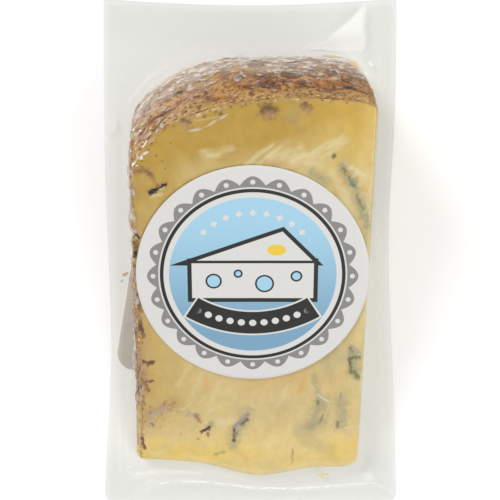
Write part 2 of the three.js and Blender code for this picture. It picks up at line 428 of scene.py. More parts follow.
# What shows on the upper cut face: kind, half width, how much of it covers the paste, softness of its edge
# from 0 to 1, depth of its pit, and the path that it follows.
MARKS = [
    ("brown", 1.6, 0.7, 0.7, 0.5, [(3.4, 28.9), (4.4, 28.5)]),
    ("brown", 1.0, 0.5, 0.7, 0.0, [(3.0, 29.4), (4.2, 29.3)]),
    ("tan", 0.9, 0.6, 0.7, 0.0, [(3.9, 27.8), (4.7, 27.9)]),
    ("brown", 0.9, 0.6, 0.8, 0.3, [(11.2, 29.8), (12.2, 29.4)]),
    ("brown", 0.5, 0.6, 0.5, 0.2, [(11.5, 30.1)]),
    ("tan", 0.8, 0.5, 0.9, 0.0, [(11.0, 28.9), (12.4, 28.8)]),
    ("green", 1.6, 0.3, 1.0, 0.0, [(8.9, 27.6)]),
    ("tan", 0.45, 0.5, 0.8, 0.0, [(8.6, 26.8), (9.4, 26.6)]),
    ("brown", 0.35, 0.8, 0.3, 0.1, [(-9.4, 27.7)]),
    ("brown", 0.35, 0.8, 0.3, 0.1, [(-6.2, 28.2), (-5.8, 28.3)]),
    ("tan", 1.0, 0.7, 0.6, 0.1, [(-13.9, 26.6), (-13.2, 25.8)]),
    ("brown", 0.5, 0.7, 0.5, 0.1, [(-14.0, 27.2), (-12.6, 26.6)]),
    ("tan", 0.9, 0.5, 1.0, 0.0, [(-24.3, 16.7), (-22.2, 16.7), (-20.9, 15.9)]),
    ("brown", 0.6, 0.6, 0.9, 0.0, [(-24.3, 16.6), (-22.2, 16.8), (-20.9, 15.9)]),
    ("brown", 0.4, 0.45, 1.0, 0.0, [(-22.0, 16.6), (-21.0, 15.9), (-20.3, 14.6), (-19.9, 13.6)]),
    ("red", 0.75, 0.5, 1.0, 0.0, [(-21.3, 12.2), (-18.3, 13.8)]),
    # This pale mark and the small one three rows on are painted highlights by the dark core mark.
    ("pale", 0.5, 0.5, 0.9, 0.0, [(-20.9, 11.5), (-19.0, 11.9)]),
    ("dark", 0.5, 1.0, 0.2, 0.5, [(-21.3, 12.1), (-20.4, 12.5)]),
    ("dark", 0.36, 1.0, 0.2, 0.4, [(-20.6, 12.5), (-19.4, 13.0), (-18.1, 13.8)]),
    ("pale", 0.16, 0.7, 0.4, 0.0, [(-19.4, 12.7), (-18.3, 13.2)]),
    ("red", 0.22, 0.9, 0.3, 0.0, [(-19.8, 19.8)]),
    ("red", 0.2, 0.8, 0.3, 0.0, [(-18.0, 17.1)]),
    ("red", 0.2, 0.8, 0.3, 0.0, [(-16.6, 22.4)]),
    ("red", 0.25, 0.8, 0.3, 0.0, [(-22.9, 17.5)]),
    ("red", 0.16, 0.7, 0.3, 0.0, [(-18.4, 18.8)]),
    ("red", 0.16, 0.7, 0.3, 0.0, [(-20.2, 8.2)]),
    ("olive", 0.4, 0.8, 0.5, 0.2, [(17.5, 19.5), (17.8, 19.9)]),
    ("green", 1.3, 0.7, 1.0, 0.0, [(19.6, 17.4), (21.0, 15.2), (22.4, 13.2), (23.4, 10.4), (24.4, 7.4)]),
    ("green", 1.2, 0.5, 1.0, 0.0, [(16.2, 14.6), (13.2, 16.4)]),
    ("olive", 0.35, 0.75, 0.6, 0.15, [(19.8, 17.1), (20.7, 15.8), (21.5, 14.0), (22.5, 13.4)]),
    ("green", 0.6, 0.8, 0.7, 0.0, [(21.4, 14.8), (22.4, 14.4)]),
    ("orange", 0.4, 0.75, 0.6, 0.0, [(20.8, 16.0)]),
    ("orange", 0.6, 0.7, 0.7, 0.0, [(20.1, 13.9)]),
    ("orange", 0.55, 0.6, 0.8, 0.0, [(24.0, 13.2), (24.7, 12.6)]),
    ("orange", 0.35, 0.8, 0.5, 0.0, [(22.8, 12.0), (22.9, 11.4)]),
    ("olive", 0.45, 0.6, 0.8, 0.1, [(22.8, 11.6), (23.3, 10.2), (24.2, 8.8)]),
    ("green", 0.8, 0.6, 0.9, 0.0, [(25.0, 7.0), (25.2, 5.2)]),
    ("pale", 0.5, 0.5, 0.8, 0.0, [(21.4, 17.3), (22.6, 16.7), (24.0, 16.0)]),
    ("green", 1.9, 0.65, 0.9, 0.0, [(23.4, -23.6), (23.8, -27.4)]),
    ("olive", 0.45, 0.85, 0.4, 0.25, [(22.5, -24.9), (22.8, -26.3), (22.9, -27.6)]),
    ("olive", 0.4, 0.8, 0.5, 0.2, [(22.6, -24.7), (24.9, -24.3)]),
    ("olive", 0.65, 0.8, 0.5, 0.2, [(23.6, -28.0), (24.7, -29.2)]),
    ("lilac", 0.22, 0.9, 0.4, 0.0, [(22.4, -21.3), (23.4, -21.8), (24.1, -22.8), (24.3, -23.7)]),
    ("brown", 0.3, 0.5, 0.6, 0.1, [(22.5, -22.2), (23.1, -22.9)]),
    ("red", 0.2, 1.0, 0.2, 0.1, [(22.7, -25.8)]),
    ("red", 0.17, 0.9, 0.2, 0.1, [(24.6, -24.5)]),
    ("green", 0.8, 0.4, 1.0, 0.0, [(14.7, -28.6), (15.0, -31.2), (15.9, -34.0), (16.1, -35.7)]),
    ("green", 2.2, 0.5, 1.0, 0.0, [(16.2, -35.6), (15.4, -38.0), (14.6, -40.6)]),
    ("green", 1.2, 0.35, 1.0, 0.0, [(13.6, -40.6), (17.6, -39.6)]),
    ("olive", 0.28, 0.75, 0.5, 0.2, [(15.7, -34.9), (15.6, -35.7)]),
    ("olive", 0.3, 0.6, 0.7, 0.1, [(16.8, -38.4), (16.2, -39.9)]),
    ("orange", 0.45, 0.5, 0.8, 0.0, [(13.0, -40.4), (13.1, -41.2)]),
    ("orange", 1.0, 0.35, 1.0, 0.0, [(11.2, -32.4), (12.4, -31.6)]),
    ("green", 0.3, 0.7, 0.6, 0.0, [(20.8, -33.1), (20.7, -33.8)]),
    ("green", 1.6, 0.5, 1.0, 0.0, [(20.9, -35.0), (21.5, -37.6), (20.9, -40.6)]),
    ("brown", 0.35, 0.55, 0.6, 0.2, [(20.3, -40.2), (20.2, -41.1)]),
    ("green", 1.7, 0.55, 1.0, 0.0, [(-0.7, -37.7), (-2.0, -40.6), (-3.6, -43.0), (-3.9, -45.4)]),
    ("lilac", 0.6, 1.0, 0.3, 0.5, [(-0.6, -38.3), (-2.2, -40.0), (-3.5, -41.3)]),
    ("dark", 0.34, 0.5, 0.6, 0.7, [(-0.6, -39.4), (-1.6, -40.4), (-2.2, -40.9)]),
    ("brown", 0.42, 0.85, 0.4, 0.6, [(-3.7, -41.9), (-3.5, -43.2), (-3.8, -44.7)]),
    ("lilac", 0.22, 0.7, 0.4, 0.0, [(-3.5, -42.4), (-3.4, -43.6)]),
    ("green", 0.9, 0.6, 0.9, 0.0, [(-9.8, -41.4), (-8.8, -40.4)]),
    ("red", 0.42, 0.95, 0.3, 0.5, [(-11.3, -42.4), (-10.2, -41.9), (-9.5, -41.4)]),
    ("olive", 0.28, 0.8, 0.4, 0.1, [(-9.9, -42.8), (-9.8, -43.3)]),
    ("lilac", 0.7, 0.7, 0.6, 0.1, [(-14.2, -38.0), (-12.9, -38.4)]),
    ("brown", 0.5, 0.6, 0.6, 0.3, [(-12.7, -38.4), (-11.9, -39.4)]),
    ("tan", 0.6, 0.6, 0.6, 0.0, [(-12.3, -38.3), (-11.6, -39.8)]),
    ("pale", 0.9, 0.5, 1.0, 0.0, [(-7.6, -40.2), (-4.8, -39.6)]),
    ("olive", 0.3, 0.5, 0.6, 0.1, [(-12.2, -44.2)]),
    ("olive", 0.3, 0.4, 0.6, 0.1, [(-16.2, -42.8)]),
    ("green", 0.45, 0.6, 0.8, 0.1, [(-8.2, -48.3), (-6.1, -47.5)]),
    ("tan", 1.5, 0.55, 1.0, 0.0, [(-23.4, -37.8), (-21.0, -37.0), (-17.6, -35.4)]),
    ("lilac", 0.6, 0.6, 0.7, 0.1, [(-22.6, -38.2), (-20.6, -37.2), (-19.0, -36.6)]),
    ("dark", 0.28, 0.5, 0.6, 0.1, [(-23.0, -37.7)]),
    ("brown", 0.22, 0.8, 0.4, 0.0, [(-19.7, -35.3)]),
    ("brown", 0.28, 0.6, 0.6, 0.0, [(-17.4, -35.2)]),
    ("lilac", 0.8, 0.5, 0.9, 0.0, [(-22.9, -39.2), (-22.4, -40.9)]),
    ("brown", 0.35, 0.6, 0.5, 0.1, [(-22.9, -40.4), (-22.4, -40.8)]),
    ("brown", 0.42, 0.95, 0.3, 0.5, [(-24.2, -25.5), (-23.0, -26.2), (-22.0, -25.5)]),
    ("brown", 0.45, 0.95, 0.4, 0.4, [(-25.4, -29.1), (-24.4, -30.3), (-23.4, -32.2)]),
    ("brown", 0.35, 0.85, 0.4, 0.3, [(-24.4, -30.3), (-22.3, -30.1)]),
    ("tan", 1.3, 0.6, 0.9, 0.0, [(-24.4, -27.4), (-24.0, -31.8)]),
    ("brown", 0.22, 0.8, 0.3, 0.2, [(-24.8, -33.6)]),
    ("brown", 0.2, 0.9, 0.3, 0.2, [(-24.9, -34.8), (-24.3, -35.8)]),
    ("red", 0.35, 0.9, 0.4, 0.3, [(-25.2, -44.0), (-25.1, -45.6), (-24.9, -46.9)]),
    ("dark", 0.4, 0.9, 0.4, 0.2, [(-24.9, 3.4), (-24.2, 2.6)]),
    ("brown", 0.8, 0.7, 0.7, 0.2, [(-24.7, 1.4), (-24.8, -0.6)]),
    ("dark", 0.4, 0.9, 0.4, 0.2, [(-25.0, -0.6), (-24.9, -1.2)]),
    ("brown", 0.7, 0.6, 0.8, 0.2, [(-24.9, -9.0), (-24.5, -13.6)]),
    ("dark", 0.42, 0.9, 0.4, 0.2, [(-24.8, -17.0), (-24.2, -18.4)]),
    ("brown", 0.6, 0.7, 0.7, 0.2, [(-24.7, -15.6), (-24.2, -19.4)]),
    ("brown", 0.16, 0.45, 0.5, 0.25, [(10.1, -46.8), (9.9, -48.6), (10.1, -50.4)]),
    ("orange", 1.2, 0.35, 1.0, 0.0, [(-2.4, -47.6), (-1.0, -48.8)]),
    ("orange", 0.8, 0.45, 1.0, 0.0, [(-10.2, -28.6), (-9.6, -31.8)]),
    ("orange", 2.2, 0.30, 1.0, 0.0, [(-1.0, -31.0), (12.0, -29.6)]),
    ("orange", 0.5, 0.35, 1.0, 0.0, [(-12.6, -26.2), (-14.4, -29.4)]),
    ("orange", 0.5, 0.35, 1.0, 0.0, [(12.2, -29.0), (11.0, -33.0)]),
]
RAGGED = 0.75  # how uneven the marks' edges are

# Patches of fine dots: kind, middle, half sizes and how many.
DOTTED = [
    ("red", (-19.6, -36.4), (3.6, 1.8), 26),
    ("tan", (-22.0, -38.6), (3.4, 3.4), 60),
    ("brown", (-24.6, -31.0), (1.2, 6.0), 34),
    ("red", (-12.4, -38.6), (1.6, 1.2), 9),
    ("red", (-22.0, 20.0), (4.5, 4.5), 8),
    ("brown", (-24.9, -8.0), (0.7, 12.0), 50),
    ("brown", (-17.0, 27.0), (5.0, 1.8), 34),
    ("brown", (-4.0, 30.2), (9.0, 1.0), 30),
    ("dark", (-24.9, -1.0), (0.7, 4.0), 14),
]
DOT_SIZE = (0.07, 0.20)


def lay_marks(tones, x, y):
    """Paints the marks over colours by vertex and returns them with the depth of the pits."""
    here = stacked(x, y, 0 * x)
    bent_x = x + 0.25 * noise(here / 0.8 + 2.2)
    bent_y = y + 0.25 * noise(here / 0.8 + 6.1)
    pit = np.zeros(x.shape)
    for number, (kind, width, cover, softness, depth, path) in enumerate(MARKS):
        near = path_distance(x, y, path) < 2.2 * width + 0.6
        if not near.any():
            continue
        spot = here[near]
        distance = path_distance(bent_x[near], bent_y[near], path) / width
        ragged = noise(spot / (0.25 + 0.5 * width) + 3.3 * number) + 0.6 * noise(spot / 0.5 + number)
        distance = distance + RAGGED * (1.1 - 0.4 * softness) * ragged
        speckle = 1 + (1.4 - cover) * (1 - 0.5 * softness) * noise(spot / 0.6 + 2.1 * number)
        share = cover * (1 - smoothstep(distance, 0.95 * (1 - softness), 1.05 + 0.5 * softness)) * speckle
        tones[near] = painted(tones[near], share, MARK_TONES[kind])
        pit[near] = np.maximum(pit[near], depth * (1 - smoothstep(distance, 0.2, 1.1)))
    return tones, pit


def lay_dots(tones, x, y):
    """Paints patches of fine dots, denser in their middle, over colours by vertex."""
    chance = np.random.default_rng(SEED + 1)
    for kind, (middle_x, middle_y), (half_x, half_y), count in DOTTED:
        places = chance.normal(size=(count, 2)) * (half_x / 2, half_y / 2) + (middle_x, middle_y)
        sizes = chance.uniform(*DOT_SIZE, count)
        near = (np.abs(x - middle_x) < 1.6 * half_x) & (np.abs(y - middle_y) < 1.6 * half_y)
        near_x, near_y, cover = x[near], y[near], np.zeros(np.count_nonzero(near))
        for (dot_x, dot_y), size in zip(places, sizes):
            distance = np.hypot(near_x - dot_x, near_y - dot_y) / size
            cover = np.maximum(cover, 1 - smoothstep(distance, 0.5, 1.5))
        tones[near] = painted(tones[near], 0.65 * cover, MARK_TONES[kind])
    return tones


# Pale fibrous streaks on the face, like marks: half width, cover and path.
STREAKS = [
    (0.8, 0.55, [(-9.8, 20.4), (-7.2, 20.4), (-4.0, 21.2)]),
    (0.4, 0.7, [(-9.0, 19.8), (-6.4, 19.9)]),
    (0.5, 0.8, [(-1.4, 17.4), (0.8, 19.2), (2.5, 20.4), (4.6, 21.8)]),
    (0.5, 0.7, [(0.8, 17.2), (3.2, 19.4), (5.4, 20.6), (6.4, 21.6)]),
    (0.8, 0.7, [(4.2, 19.2), (7.4, 20.0), (10.5, 21.4)]),
    (0.6, 0.8, [(8.6, 18.6), (12.0, 20.2), (15.1, 21.4), (18.4, 22.8)]),
    (1.0, 0.7, [(12.6, 19.0), (16.4, 20.4), (19.6, 23.2)]),
    (1.3, 0.5, [(7.0, 17.0), (11.0, 18.6), (15.0, 18.0)]),
    (1.2, 0.5, [(17.4, 16.4), (19.4, 13.0), (21.6, 9.0)]),
    (0.7, 0.7, [(20.4, 18.0), (21.8, 16.6), (24.4, 15.8)]),
    (0.5, 0.6, [(22.0, 13.0), (24.0, 10.4), (25.4, 7.4)]),
    (0.7, 0.45, [(-13.6, -26.4), (-16.6, -31.0)]),
    (0.6, 0.45, [(-10.8, -28.4), (-13.0, -33.4)]),
    (0.6, 0.4, [(-7.0, -30.2), (-9.6, -35.6)]),
    (0.6, 0.4, [(9.0, -31.0), (6.4, -36.0)]),
]


def lay_streaks(tones, points):
    """Paints the pale streaks over colours by vertex, frayed along their length."""
    x, y = points[..., 0], points[..., 1]
    for number, (width, cover, path) in enumerate(STREAKS):
        (x0, y0), (x1, y1) = path[0], path[-1]
        along, across = turned(x, y, -math.atan2(y1 - y0, x1 - x0))
        fray = noise(stacked(along / 3.0, across / 0.7, number))
        fray = fray + 0.5 * noise(stacked(along, across / 0.4, number))
        distance = path_distance(x, y, path) / width + 1.1 * fray
        tones = painted(tones, 0.8 * cover * (1 - smoothstep(distance, -0.6, 2.0)), MARK_TONES["pale"])
    return tones


def crumbly_edge(tones, points, gap):
    """Paints the paste's crumbly tan seam along the rind. gap is the distance from the rind."""
    reach = 0.6 + 2.0 * smoothstep(-points[..., 0], 2, 18) * smoothstep(points[..., 1], 16, 24)
    ragged = gap / reach + 0.9 * layered_noise(points, 2.4, 3, 33.1)
    seam = 1 - smoothstep(ragged, 0.35, 1.0)
    near = 1 - smoothstep(ragged, 0.6, 1.7)
    speck = smoothstep(noise(points / 0.75 + 37.7), 0.22, 0.42) * near
    crumb = smoothstep(noise(points / 1.1 + 41.9), 0.15, 0.4) * seam
    return coated(tones, [
        (0.85 * seam, TAN),
        (0.8 * speck, MARK_TONES["brown"]),
        (0.6 * crumb, MARK_TONES["pale"]),
    ])


def paste_tones(points):
    """Colour of the paste: waxy near the rind, creamy in the middle, buttery at the tip."""
    x, y = points[..., 0], points[..., 1]
    cloud = layered_noise(points, 11, 3, 1.5)
    ripening = (21.5 - y + 0.42 * x) / 13 + 0.9 * cloud
    cream = smoothstep(ripening, -0.2, 1.3)
    cream = cream * (1 - 0.55 * smoothstep(-x, 6, 23) * smoothstep(y, -47, -34))
    low = -y + 2.5 * noise(points / 5 + 4.1) - 2.5 * smoothstep(-x, 2, 12)
    butter = smoothstep(low, 40.5, 47.5) * (1 - 0.75 * bell(x, 4, 9))
    butter = butter * (0.8 + 0.8 * noise(points / 6 + 4.1)) * lerp(1.15, 0.6, smoothstep(x, 4, 20))
    tip_edge_highlight = smoothstep(-y - tongue(x), 48.4, 50.2) * lerp(0.1, 0.75, smoothstep(x, -22, -12))
    rindward = smoothstep(-x, 21.0, 25.5) * smoothstep(-y, -22, -8) * smoothstep(y, -46, -38)
    bloom = smoothstep(noise(points / 8 + 15.1), 0.1, 0.55)
    bloom = bloom * smoothstep(x, -4, 14) * smoothstep(-y, -17, 0)
    tones = coated(WAXY, [
        (cream, CREAMY),
        (0.55 * smoothstep(x, 6, 25) * smoothstep(y, 10, 24), GOLDEN),
        # Painted highlight along the halving cut's edge.
        (0.35 * smoothstep(x, 22, 26), IVORY),
        # Painted light brightening the tip.
        (0.4 * smoothstep(-y, 36, 45) * lerp(0.6, 1.0, smoothstep(x, -14, 0)), IVORY),
        (0.8 * butter, BUTTER),
        # Painted highlight along the tip's edge.
        (tip_edge_highlight, IVORY),
        (0.8 * rindward * (0.7 + 1.2 * noise(points / 5 + 7.7)), TAN),
        (0.18 * smoothstep(noise(points / 7 + 12.3), 0.15, 0.6), MARK_TONES["orange"]),
        (0.28 * bloom, MARK_TONES["green"]),
    ])
    fine = layered_noise(points * (1.0, 0.6, 1.0), 2.2, 3, 9.5)
    tones = tones * stacked(1 + 0.07 * fine, 1 + 0.08 * fine, 1 + 0.11 * fine, 1.0)
    # Painted light: the tip made brighter.
    return tones * (1 + 0.06 * smoothstep(-y, 40, 49))[..., None]


def marbled(tones, points):
    """Paints veins and pockets over the paste of the halving cut and of the tip."""
    vein = bell(noise(points / 7.5 + 21.2), 0, 0.045) * smoothstep(noise(points / 13 + 5.5), 0.02, 0.35)
    pocket = smoothstep(noise(points / 3.2 + 17.3), 0.42, 0.6)
    pocket = pocket * smoothstep(noise(points / 11 + 2.5), 0.1, 0.4)
    return coated(tones, [(0.75 * vein, MARK_TONES["green"]), (0.7 * pocket, MARK_TONES["olive"])])


def under_rind(u, v, w, extra=0.0):
    """A point under the rind, deeper below the upper cut face than at it, or just under the film."""
    at_flat = (1 - smoothstep(u * WEDGE_WIDTH, 1, 4)) * smoothstep(v, RIND_FIRST, 0.15)
    covered = np.maximum(at_flat, smoothstep(v, RIND_LAST, RIND_LAST + 0.02))
    gap = np.minimum(np.minimum(u, 1 - u) * WEDGE_WIDTH, np.minimum(v, 1 - v) * WEDGE_LENGTH)
    thickness = lerp(RIND_DEPTH, RIND_THICKNESS, smoothstep(w, 0.9, 1.0)) + extra
    inset = lerp(CLING, thickness, covered) * (1 - smoothstep(gap, 0, 8))
    return wedge_point(u, v, w) - inset[..., None] * relief_direction(u, v, w)


def cheese_paste():
    def inside(u, v, w):
        return under_rind(u, v, w * np.ones(u.shape))

    us, vs = crowded(PASTE_STEPS[0], 0.2), crowded(PASTE_STEPS[1], 0.2)
    u, v = np.meshgrid(us, vs)
    ring_u, ring_v = perimeter(us, vs)
    top = inside(u, v, 1.0)
    x, y = top[..., 0], top[..., 1]
    gap = np.minimum(u * WEDGE_WIDTH, (1 - v) * WEDGE_LENGTH)
    tones = crumbly_edge(lay_streaks(paste_tones(top), top), top, gap)
    tones, pit = lay_marks(lay_dots(tones, x, y), x, y)
    inward = smoothstep(np.minimum(gap, np.minimum((1 - u) * WEDGE_WIDTH, v * WEDGE_LENGTH)), 0, 1)
    uneven = 0.05 * layered_noise(top, 6, 3, 8.8) * inward
    top = top + (uneven - CLING - 0.03 - pit * inward)[..., None] * face_normal(u, v)
    walls = np.stack([inside(ring_u, ring_v, w) for w in np.linspace(1, 0, PASTE_LEVELS + 1)[1:]])
    wall_tones = marbled(paste_tones(walls), walls)
    depth = np.concatenate([pit.ravel(), np.zeros(walls[..., 0].size)])
    layers = {"paint": np.concatenate([tones.reshape(-1, 4), wall_tones.reshape(-1, 4)]), "pit": depth}
    return closed_skin("cheese_paste", top, list(walls), layers=layers)


RIND_STEPS = 370
RIND_LEVELS = 110
LIP_STEPS = 6
INNER_LEVELS = 6

RIND_RUST = colour(172, 112, 44)
RIND_GOLD = colour(200, 150, 78)
RIND_UMBER = colour(104, 56, 10)
RIND_BLACK = colour(26, 24, 26)
# Greyish white of chalk on the rind, and of painted reflection of the film seen edge-on.
RIND_CHALK_AND_SHEEN = colour(212, 200, 182)
RIND_PINK = colour(206, 172, 142)
RIND_WAX = colour(196, 154, 86)
RIND_GRAIN = (0.8, 0.8, 0.85)  # how fine its patterns are along x, y and z: below 1 they are coarser

# Black strokes on the rim: half width, and path in x and height.
RIND_STROKES = [
    (0.45, [(2.3, 31.0), (3.0, 31.0)]),
    (0.5, [(2.9, 35.2), (4.1, 35.6)]),
    (0.5, [(4.9, 34.0), (5.9, 34.2)]),
    (0.8, [(-2.0, 13.6), (0.6, 14.2)]),
    (0.9, [(2.5, 13.2), (4.2, 12.4)]),
    (0.8, [(5.2, 15.2), (7.8, 15.4)]),
    (0.9, [(9.0, 21.0), (9.9, 21.0)]),
    (0.9, [(-17.0, 26.0), (-14.6, 27.0)]),
    (0.7, [(20.4, 33.6), (22.4, 32.4)]),
]


def rind_tones(points, height, swelling, crack):
    """Colour of the rind: rusty lumps with dark folds, pinker at the flat side and waxy at the top."""
    x, y = points[..., 0], points[..., 1]
    grain = points * RIND_GRAIN
    patch = layered_noise(grain, 4.8, 4, 2.9)
    fleck = layered_noise(grain, 1.2, 2, 5.1)
    pink = smoothstep(-x, 6, 17) * smoothstep(layered_noise(grain, 6, 3, 11.3), -0.45, 0.0)
    outward = 1 - smoothstep(height, 0.25, 0.75)
    chalk_and_sheen = smoothstep(layered_noise(grain, 2.2, 3, 14.2) + 0.4 * outward, 0.2, 0.6)
    inner = smoothstep(height + 0.16 * layered_noise(grain, 3.2, 3, 18.7), 0.86, 0.96)
    spotted = smoothstep(noise(points / 5 + 1.1) + 0.3 * inner, -0.3, 0.05)
    speck = smoothstep(noise(points * (1.2, 1.2, 0.7) + 23.3) + 0.1 * inner, 0.2, 0.34) * spotted
    crumb = smoothstep(noise(points * (1.3, 1.3, 0.8) + 29.1), 0.22, 0.36)
    crumb = crumb * smoothstep(height, 0.92, 0.98) * lerp(0.35, 0.8, smoothstep(x, 8, 16))
    bare = smoothstep(height, 0.95, 0.985) * smoothstep(noise(points / 3.5 + 8.8), -0.2, 0.1)
    return coated(RIND_RUST, [
        (smoothstep(patch, 0.05, 0.4), RIND_GOLD),
        (0.95 * smoothstep(-patch, 0.12, 0.3), RIND_UMBER),
        (0.5 * smoothstep(0.26 - swelling, 0.0, 0.24), RIND_UMBER),
        (0.55 * smoothstep(fleck, 0.2, 0.45), RIND_GOLD),
        (0.5 * smoothstep(-fleck, 0.25, 0.45), RIND_UMBER),
        (0.85 * pink, RIND_PINK),
        (0.7 * pink * smoothstep(fleck + patch, 0.2, 0.5), RIND_WAX),
        (0.8 * pink * smoothstep(-fleck - 0.5 * patch, 0.2, 0.35), RIND_RUST),
        # Chalky grey: a little chalk everywhere, and painted reflection of the film seen edge-on low on the
        # rim.
        ((0.12 + 0.5 * outward) * chalk_and_sheen, RIND_CHALK_AND_SHEEN),
        (0.75 * inner * (1 - 0.5 * pink), RIND_WAX),
        (0.9 * crack * (1 - 0.6 * inner), RIND_UMBER),
        (0.85 * speck, RIND_UMBER),
        (crumb, IVORY),
        (0.8 * bare, RIND_WAX),
        (0.45 * smoothstep(-y, 33, 39), IVORY),
    ])


def rind_route(count):
    """u and v of evenly spaced stations along the flat rind, the rim and the start of the halving cut."""
    def place(share):
        return np.clip(share - 1, 0, 1), np.minimum(share, 1) - np.maximum(share - 2, 0)

    share = np.linspace(RIND_FIRST, 3 - RIND_LAST, 3000)
    route = wedge_point(*place(share), 0.5)
    length = np.concatenate([[0], np.cumsum(np.linalg.norm(np.diff(route, axis=0), axis=-1))])
    return place(np.interp(np.linspace(0, length[-1], count + 1), length, share))


def cheese_rind():
    u, v = (station[:, None] for station in rind_route(RIND_STEPS))
    w = np.linspace(0, 1, RIND_LEVELS + 1)[None, :]
    base = wedge_point(u, v, w)
    share = rind_share(u, v, w)
    swelling = lumps(base)
    crack = bell(noise(base / 3.1 + 1.7), 0, 0.06) * smoothstep(noise(base / 8 + 2.2), 0.12, 0.35)
    grain = layered_noise(base, 0.9, 2, 6.6)
    relief = share * (lump_relief(base) - 0.35 * crack + 0.05 * grain)
    relief = lerp(relief, np.maximum(relief, -0.3), smoothstep(w, 0.85, 0.96)) - CLING - 0.05
    outer = base + relief[..., None] * relief_direction(u, v, w)
    outer -= (CLING + 0.03) * smoothstep(w, 0.96, 1.0)[..., None] * face_normal(u + 0 * w, v + 0 * w)
    tones = rind_tones(base, w + 0 * u, swelling, crack)
    for width, path in RIND_STROKES:
        ragged = path_distance(base[..., 0], base[..., 2], path) / width + 0.5 * noise(base / 0.7)
        tones = painted(tones, (1 - smoothstep(ragged, 0.6, 1.0)) * (v > 0.99), RIND_BLACK)

    inner = under_rind(u, v, crowded(INNER_LEVELS, 0.5)[None, ::-1], RIND_OVERLAP)
    inner[:, 0] -= 2 * CLING * face_normal(u[:, 0], v[:, 0])
    way = np.linspace(0, 1, LIP_STEPS + 2)[None, 1:-1]
    lip = lerp(outer[:, -1:], inner[:, :1], way[..., None])
    lip[..., 2] += 0.12 * layered_noise(lip, 1.1, 2, 3.9) * np.sin(np.pi * way)
    crumbly = layered_noise(lip, 1.3, 3, 4.6)
    lip_tones = coated(RIND_WAX, [
        (smoothstep(crumbly, 0.15, 0.5), RIND_RUST),
        (0.6 * smoothstep(-crumbly, 0.1, 0.5), IVORY),
        (1 - way * 2.5, tones[:, -1:]),
        (smoothstep(way + 0.4 * crumbly, 0.35, 0.8), paste_tones(lip)),
    ])
    lip_tones, _ = lay_marks(lip_tones, lip[..., 0], lip[..., 1])
    inner_tones = np.broadcast_to(WAXY, (*inner.shape[:2], 4))

    loop = np.concatenate([outer, lip, inner], axis=1)
    paint = np.concatenate([tones, lip_tones, inner_tones], axis=1)
    grid = np.arange(loop[..., 0].size).reshape(loop.shape[:2])
    faces = []
    for station in range(len(grid) - 1):
        faces += band_faces(grid[station + 1], grid[station]).tolist()
    faces += [grid[0].tolist(), grid[-1, ::-1].tolist()]
    return mesh_object("cheese_rind", loop.reshape(-1, 3), faces, {"paint": paint.reshape(-1, 4)})


# ---------------------------------------------------------------- pouch

FILM_STEPS = (150, 150)
FILM_LEVELS = 80
FLANGE_STEPS = 22
BACK_STEPS = 8

# Folds of the film over the upper cut face, their white a painted highlight: half width, how white they
# are, and path.
FACE_FOLD_HIGHLIGHTS = [
    (0.35, 0.38, [(-15.0, 25.3), (-13.4, 24.7), (-10.4, 25.1), (-5.8, 27.5), (-3.9, 28.6)]),
    (0.30, 0.15, [(-13.5, 26.9), (-10.4, 27.1), (-4.2, 28.2)]),
    (0.40, 0.20, [(-20.3, -38.6), (-16.1, -37.1), (-12.5, -34.6)]),
    (0.30, 0.18, [(-10.4, -33.0), (-10.8, -34.9)]),
    (0.30, 0.15, [(-7.5, -35.9), (-10.7, -38.2)]),
    (0.25, 0.45, [(13.6, -30.5), (16.0, -33.5), (19.2, -35.7)]),
    (0.20, 0.30, [(8.7, -34.0), (10.3, -34.0)]),
    (0.20, 0.30, [(2.8, -36.6), (4.1, -36.6)]),
    (0.20, 0.60, [(24.6, 10.7), (25.6, 8.9)]),
    (0.12, 0.60, [(-24.2, 20.8), (-23.2, 18.8), (-22.0, 19.6)]),
    (0.12, 0.70, [(-24.9, 17.6), (-23.8, 19.2), (-21.6, 20.8), (-21.5, 19.4)]),
    (0.12, 0.50, [(-23.0, 23.4), (-22.0, 22.0)]),
    (0.25, 0.22, [(20.4, -41.6), (25.0, -40.8)]),
    (0.20, 0.60, [(-25.9, 1.8), (-25.8, -2.6)]),
    (0.20, 0.50, [(-26.0, -18.0), (-25.9, -24.0)]),
]
# The same over the flange, where they also stand out. The first is the pressed line along the lower edge.
FLANGE_FOLD_HIGHLIGHTS = [
    (0.35, 0.80, [(-28.0, -59.5), (-26.3, -57.9), (-22.7, -56.0), (-17.9, -55.2), (-12.0, -55.2),
                  (-4.8, -56.0), (0.0, -56.7), (9.6, -56.9), (19.1, -56.4), (26.3, -55.7),
                  (29.9, -55.7), (34.0, -57.7)]),
    (0.14, 0.45, [(29.7, 16.8), (30.6, 0.0), (31.6, -24.0), (31.8, -37.4), (30.6, -41.2), (26.9, -44.6)]),
]
# White glints on the film over the cheese and over the flange: middle, half length, half width and turn.
FACE_GLINTS = [
    (-21.9, 22.5, 0.75, 0.35, 70), (-22.4, 21.8, 0.4, 0.2, 20), (-22.0, 20.4, 0.95, 0.4, 25),
    (-22.9, 19.5, 0.5, 0.22, 60), (-24.6, 18.2, 0.7, 0.4, 30), (-24.0, 17.8, 0.45, 0.2, 10),
    (-23.0, 24.9, 0.3, 0.25, 0), (-24.4, 25.1, 0.5, 0.22, 20), (-20.7, 25.4, 0.25, 0.18, 0),
    (-25.2, 23.2, 0.3, 0.2, 40), (-24.0, 22.4, 0.3, 0.16, 10), (-25.0, 20.8, 0.35, 0.16, 80),
]
FLANGE_GLINTS = [
    (28.9, 44.3, 1.0, 0.55, -50), (27.7, 42.5, 0.5, 0.28, -30), (28.2, 41.6, 0.3, 0.2, 0),
]
GLINT_SIDES = 6
FOLD_STEP = 0.25
FOLD_SECTION = (-1.0, -0.5, 0.0, 0.5, 1.0)
WEB_SLOPE = 0.08  # of the taut web of film from the cheese's far right corner to the pouch's edge
